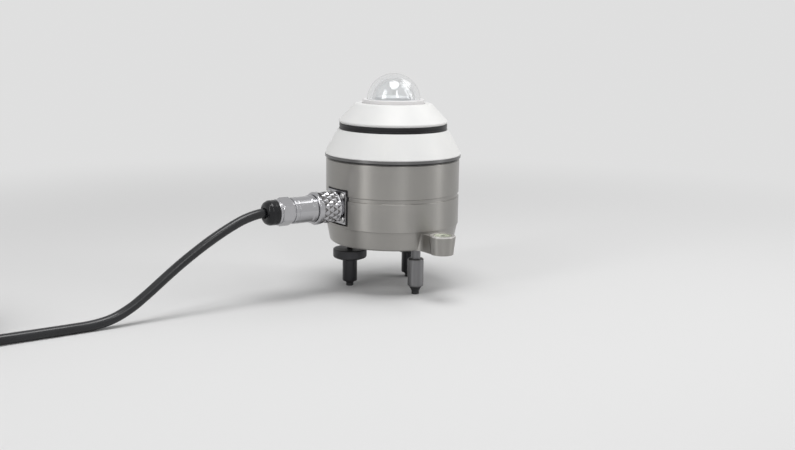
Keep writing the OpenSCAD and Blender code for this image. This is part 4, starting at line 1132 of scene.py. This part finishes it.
def make_socket_screws():
    spots = [(SCREW_AT * i, SCREW_AT * j) for i in (-1, 1) for j in (-1, 1)]
    meshes = []
    for (x, y), turn in zip(spots, SCREW_TURNS):
        points, faces = cross_head_mesh()
        place = ON_SOCKET @ Matrix.Translation((x, y, FLANGE_X)) @ Matrix.Rotation(math.radians(turn), 4, "Z")
        meshes.append((moved(points, place), faces))
    heads = add_piece("socket_screw_heads", *joined(meshes), ROOT, "steel_screw")
    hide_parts("socket_screws")


make_socket_screws()


# The plug, which hangs on the lead

plug_pieces = [make_ring(), make_sleeve(), make_clamp(), make_boot()]
plug_pieces += [frame["nodes"][name] for name in ("plug_insert", "back_nut")]


# Studio. Its lengths are in metres.

BACKGROUND = (0.74, 0.74, 0.74, 1.0)
FLOOR_R = 6.0
# The lit floor turns into the plain background between these distances from the middle
FADE_FROM = 0.2
FADE_TO = 0.75
AMBIENT = 0.28
LAMPS_AIM = Vector((0, 0, 0.08))


def combined(tree, operation, a, b):
    """The output of a math node that takes two outputs."""
    made = tree.nodes.new("ShaderNodeMath")
    made.operation = operation
    tree.links.new(a, made.inputs[0])
    tree.links.new(b, made.inputs[1])
    return made.outputs[0]


def plain_for_eye(tree, lit, plain, share=None):
    """Shows the plain shader to camera, glossy and transmission rays; share limits it."""
    path = tree.nodes.new("ShaderNodeLightPath")
    seen = path.outputs["Is Camera Ray"]
    for name in ("Is Glossy Ray", "Is Transmission Ray"):
        seen = combined(tree, "MAXIMUM", seen, path.outputs[name])
    if share:
        seen = combined(tree, "MULTIPLY", seen, share)
    mixed = tree.nodes.new("ShaderNodeMixShader")
    tree.links.new(seen, mixed.inputs["Fac"])
    tree.links.new(lit, mixed.inputs[1])
    tree.links.new(plain, mixed.inputs[2])
    return mixed.outputs["Shader"]


def make_floor():
    bm = bmesh.new()
    bmesh.ops.create_circle(bm, cap_ends=True, segments=96, radius=FLOOR_R)
    mesh = bpy.data.meshes.new("floor")
    bm.to_mesh(mesh)
    bm.free()
    floor = bpy.data.objects.new("floor", mesh)
    scene.collection.objects.link(floor)
    look = Look("floor", BACKGROUND[:3], 0.0, 0.75, Specular_IOR_Level=0.2)
    far = look.node("ShaderNodeVectorMath", operation="LENGTH")
    look.link(look.place, far.inputs[0])
    fade = look.node("ShaderNodeMapRange", interpolation_type="SMOOTHSTEP")
    for socket, number in zip(("From Min", "From Max"), (FADE_FROM, FADE_TO)):
        fade.inputs[socket].default_value = number
    look.link(far.outputs["Value"], fade.inputs["Value"])
    glow = look.node("ShaderNodeEmission")
    glow.inputs["Color"].default_value = BACKGROUND
    seen = plain_for_eye(look.tree, look.shader.outputs["BSDF"], glow.outputs[0], fade.outputs["Result"])
    look.link(seen, look.tree.nodes["Material Output"].inputs["Surface"])
    mesh.materials.append(look.material)


def make_world(ambient):
    world = bpy.data.worlds.new("studio")
    scene.world = world
    world.use_nodes = True
    tree = world.node_tree
    soft = tree.nodes["Background"]
    soft.inputs["Color"].default_value = (1.0, 1.0, 1.0, 1.0)
    soft.inputs["Strength"].default_value = ambient
    backdrop = tree.nodes.new("ShaderNodeBackground")
    backdrop.inputs["Color"].default_value = BACKGROUND
    seen = plain_for_eye(tree, soft.outputs[0], backdrop.outputs[0])
    tree.links.new(seen, tree.nodes["World Output"].inputs["Surface"])


def add_lamp(name, azimuth, elevation, distance, width, height, power, shape="RECTANGLE"):
    """A soft box that looks at the middle of the instrument; angles are in degrees."""
    data = bpy.data.lights.new(name, "AREA")
    data.shape = shape
    data.size = width
    data.size_y = height
    data.energy = power
    lamp = bpy.data.objects.new(name, data)
    scene.collection.objects.link(lamp)
    a, e = math.radians(azimuth), math.radians(elevation)
    away = Vector((math.cos(a) * math.cos(e), math.sin(a) * math.cos(e), math.sin(e)))
    at = LAMPS_AIM + away * distance
    lamp.matrix_world = Matrix.Translation(at) @ (-away).to_track_quat("-Z", "Y").to_matrix().to_4x4()


make_floor()
make_world(AMBIENT)
add_lamp("top", 240, 79, distance=1.05, width=0.62, height=0.62, power=5.8, shape="ELLIPSE")
add_lamp("side", 352, 50, distance=1.05, width=0.6, height=0.45, power=2.0)
add_lamp("left", 187, 28, distance=1.0, width=0.16, height=0.7, power=2.0)
add_lamp("front", 253, 34, distance=1.1, width=0.14, height=0.6, power=1.2)
add_lamp("right", 322, 26, distance=1.0, width=0.16, height=0.7, power=1.6)

scene.view_settings.view_transform = "Standard"
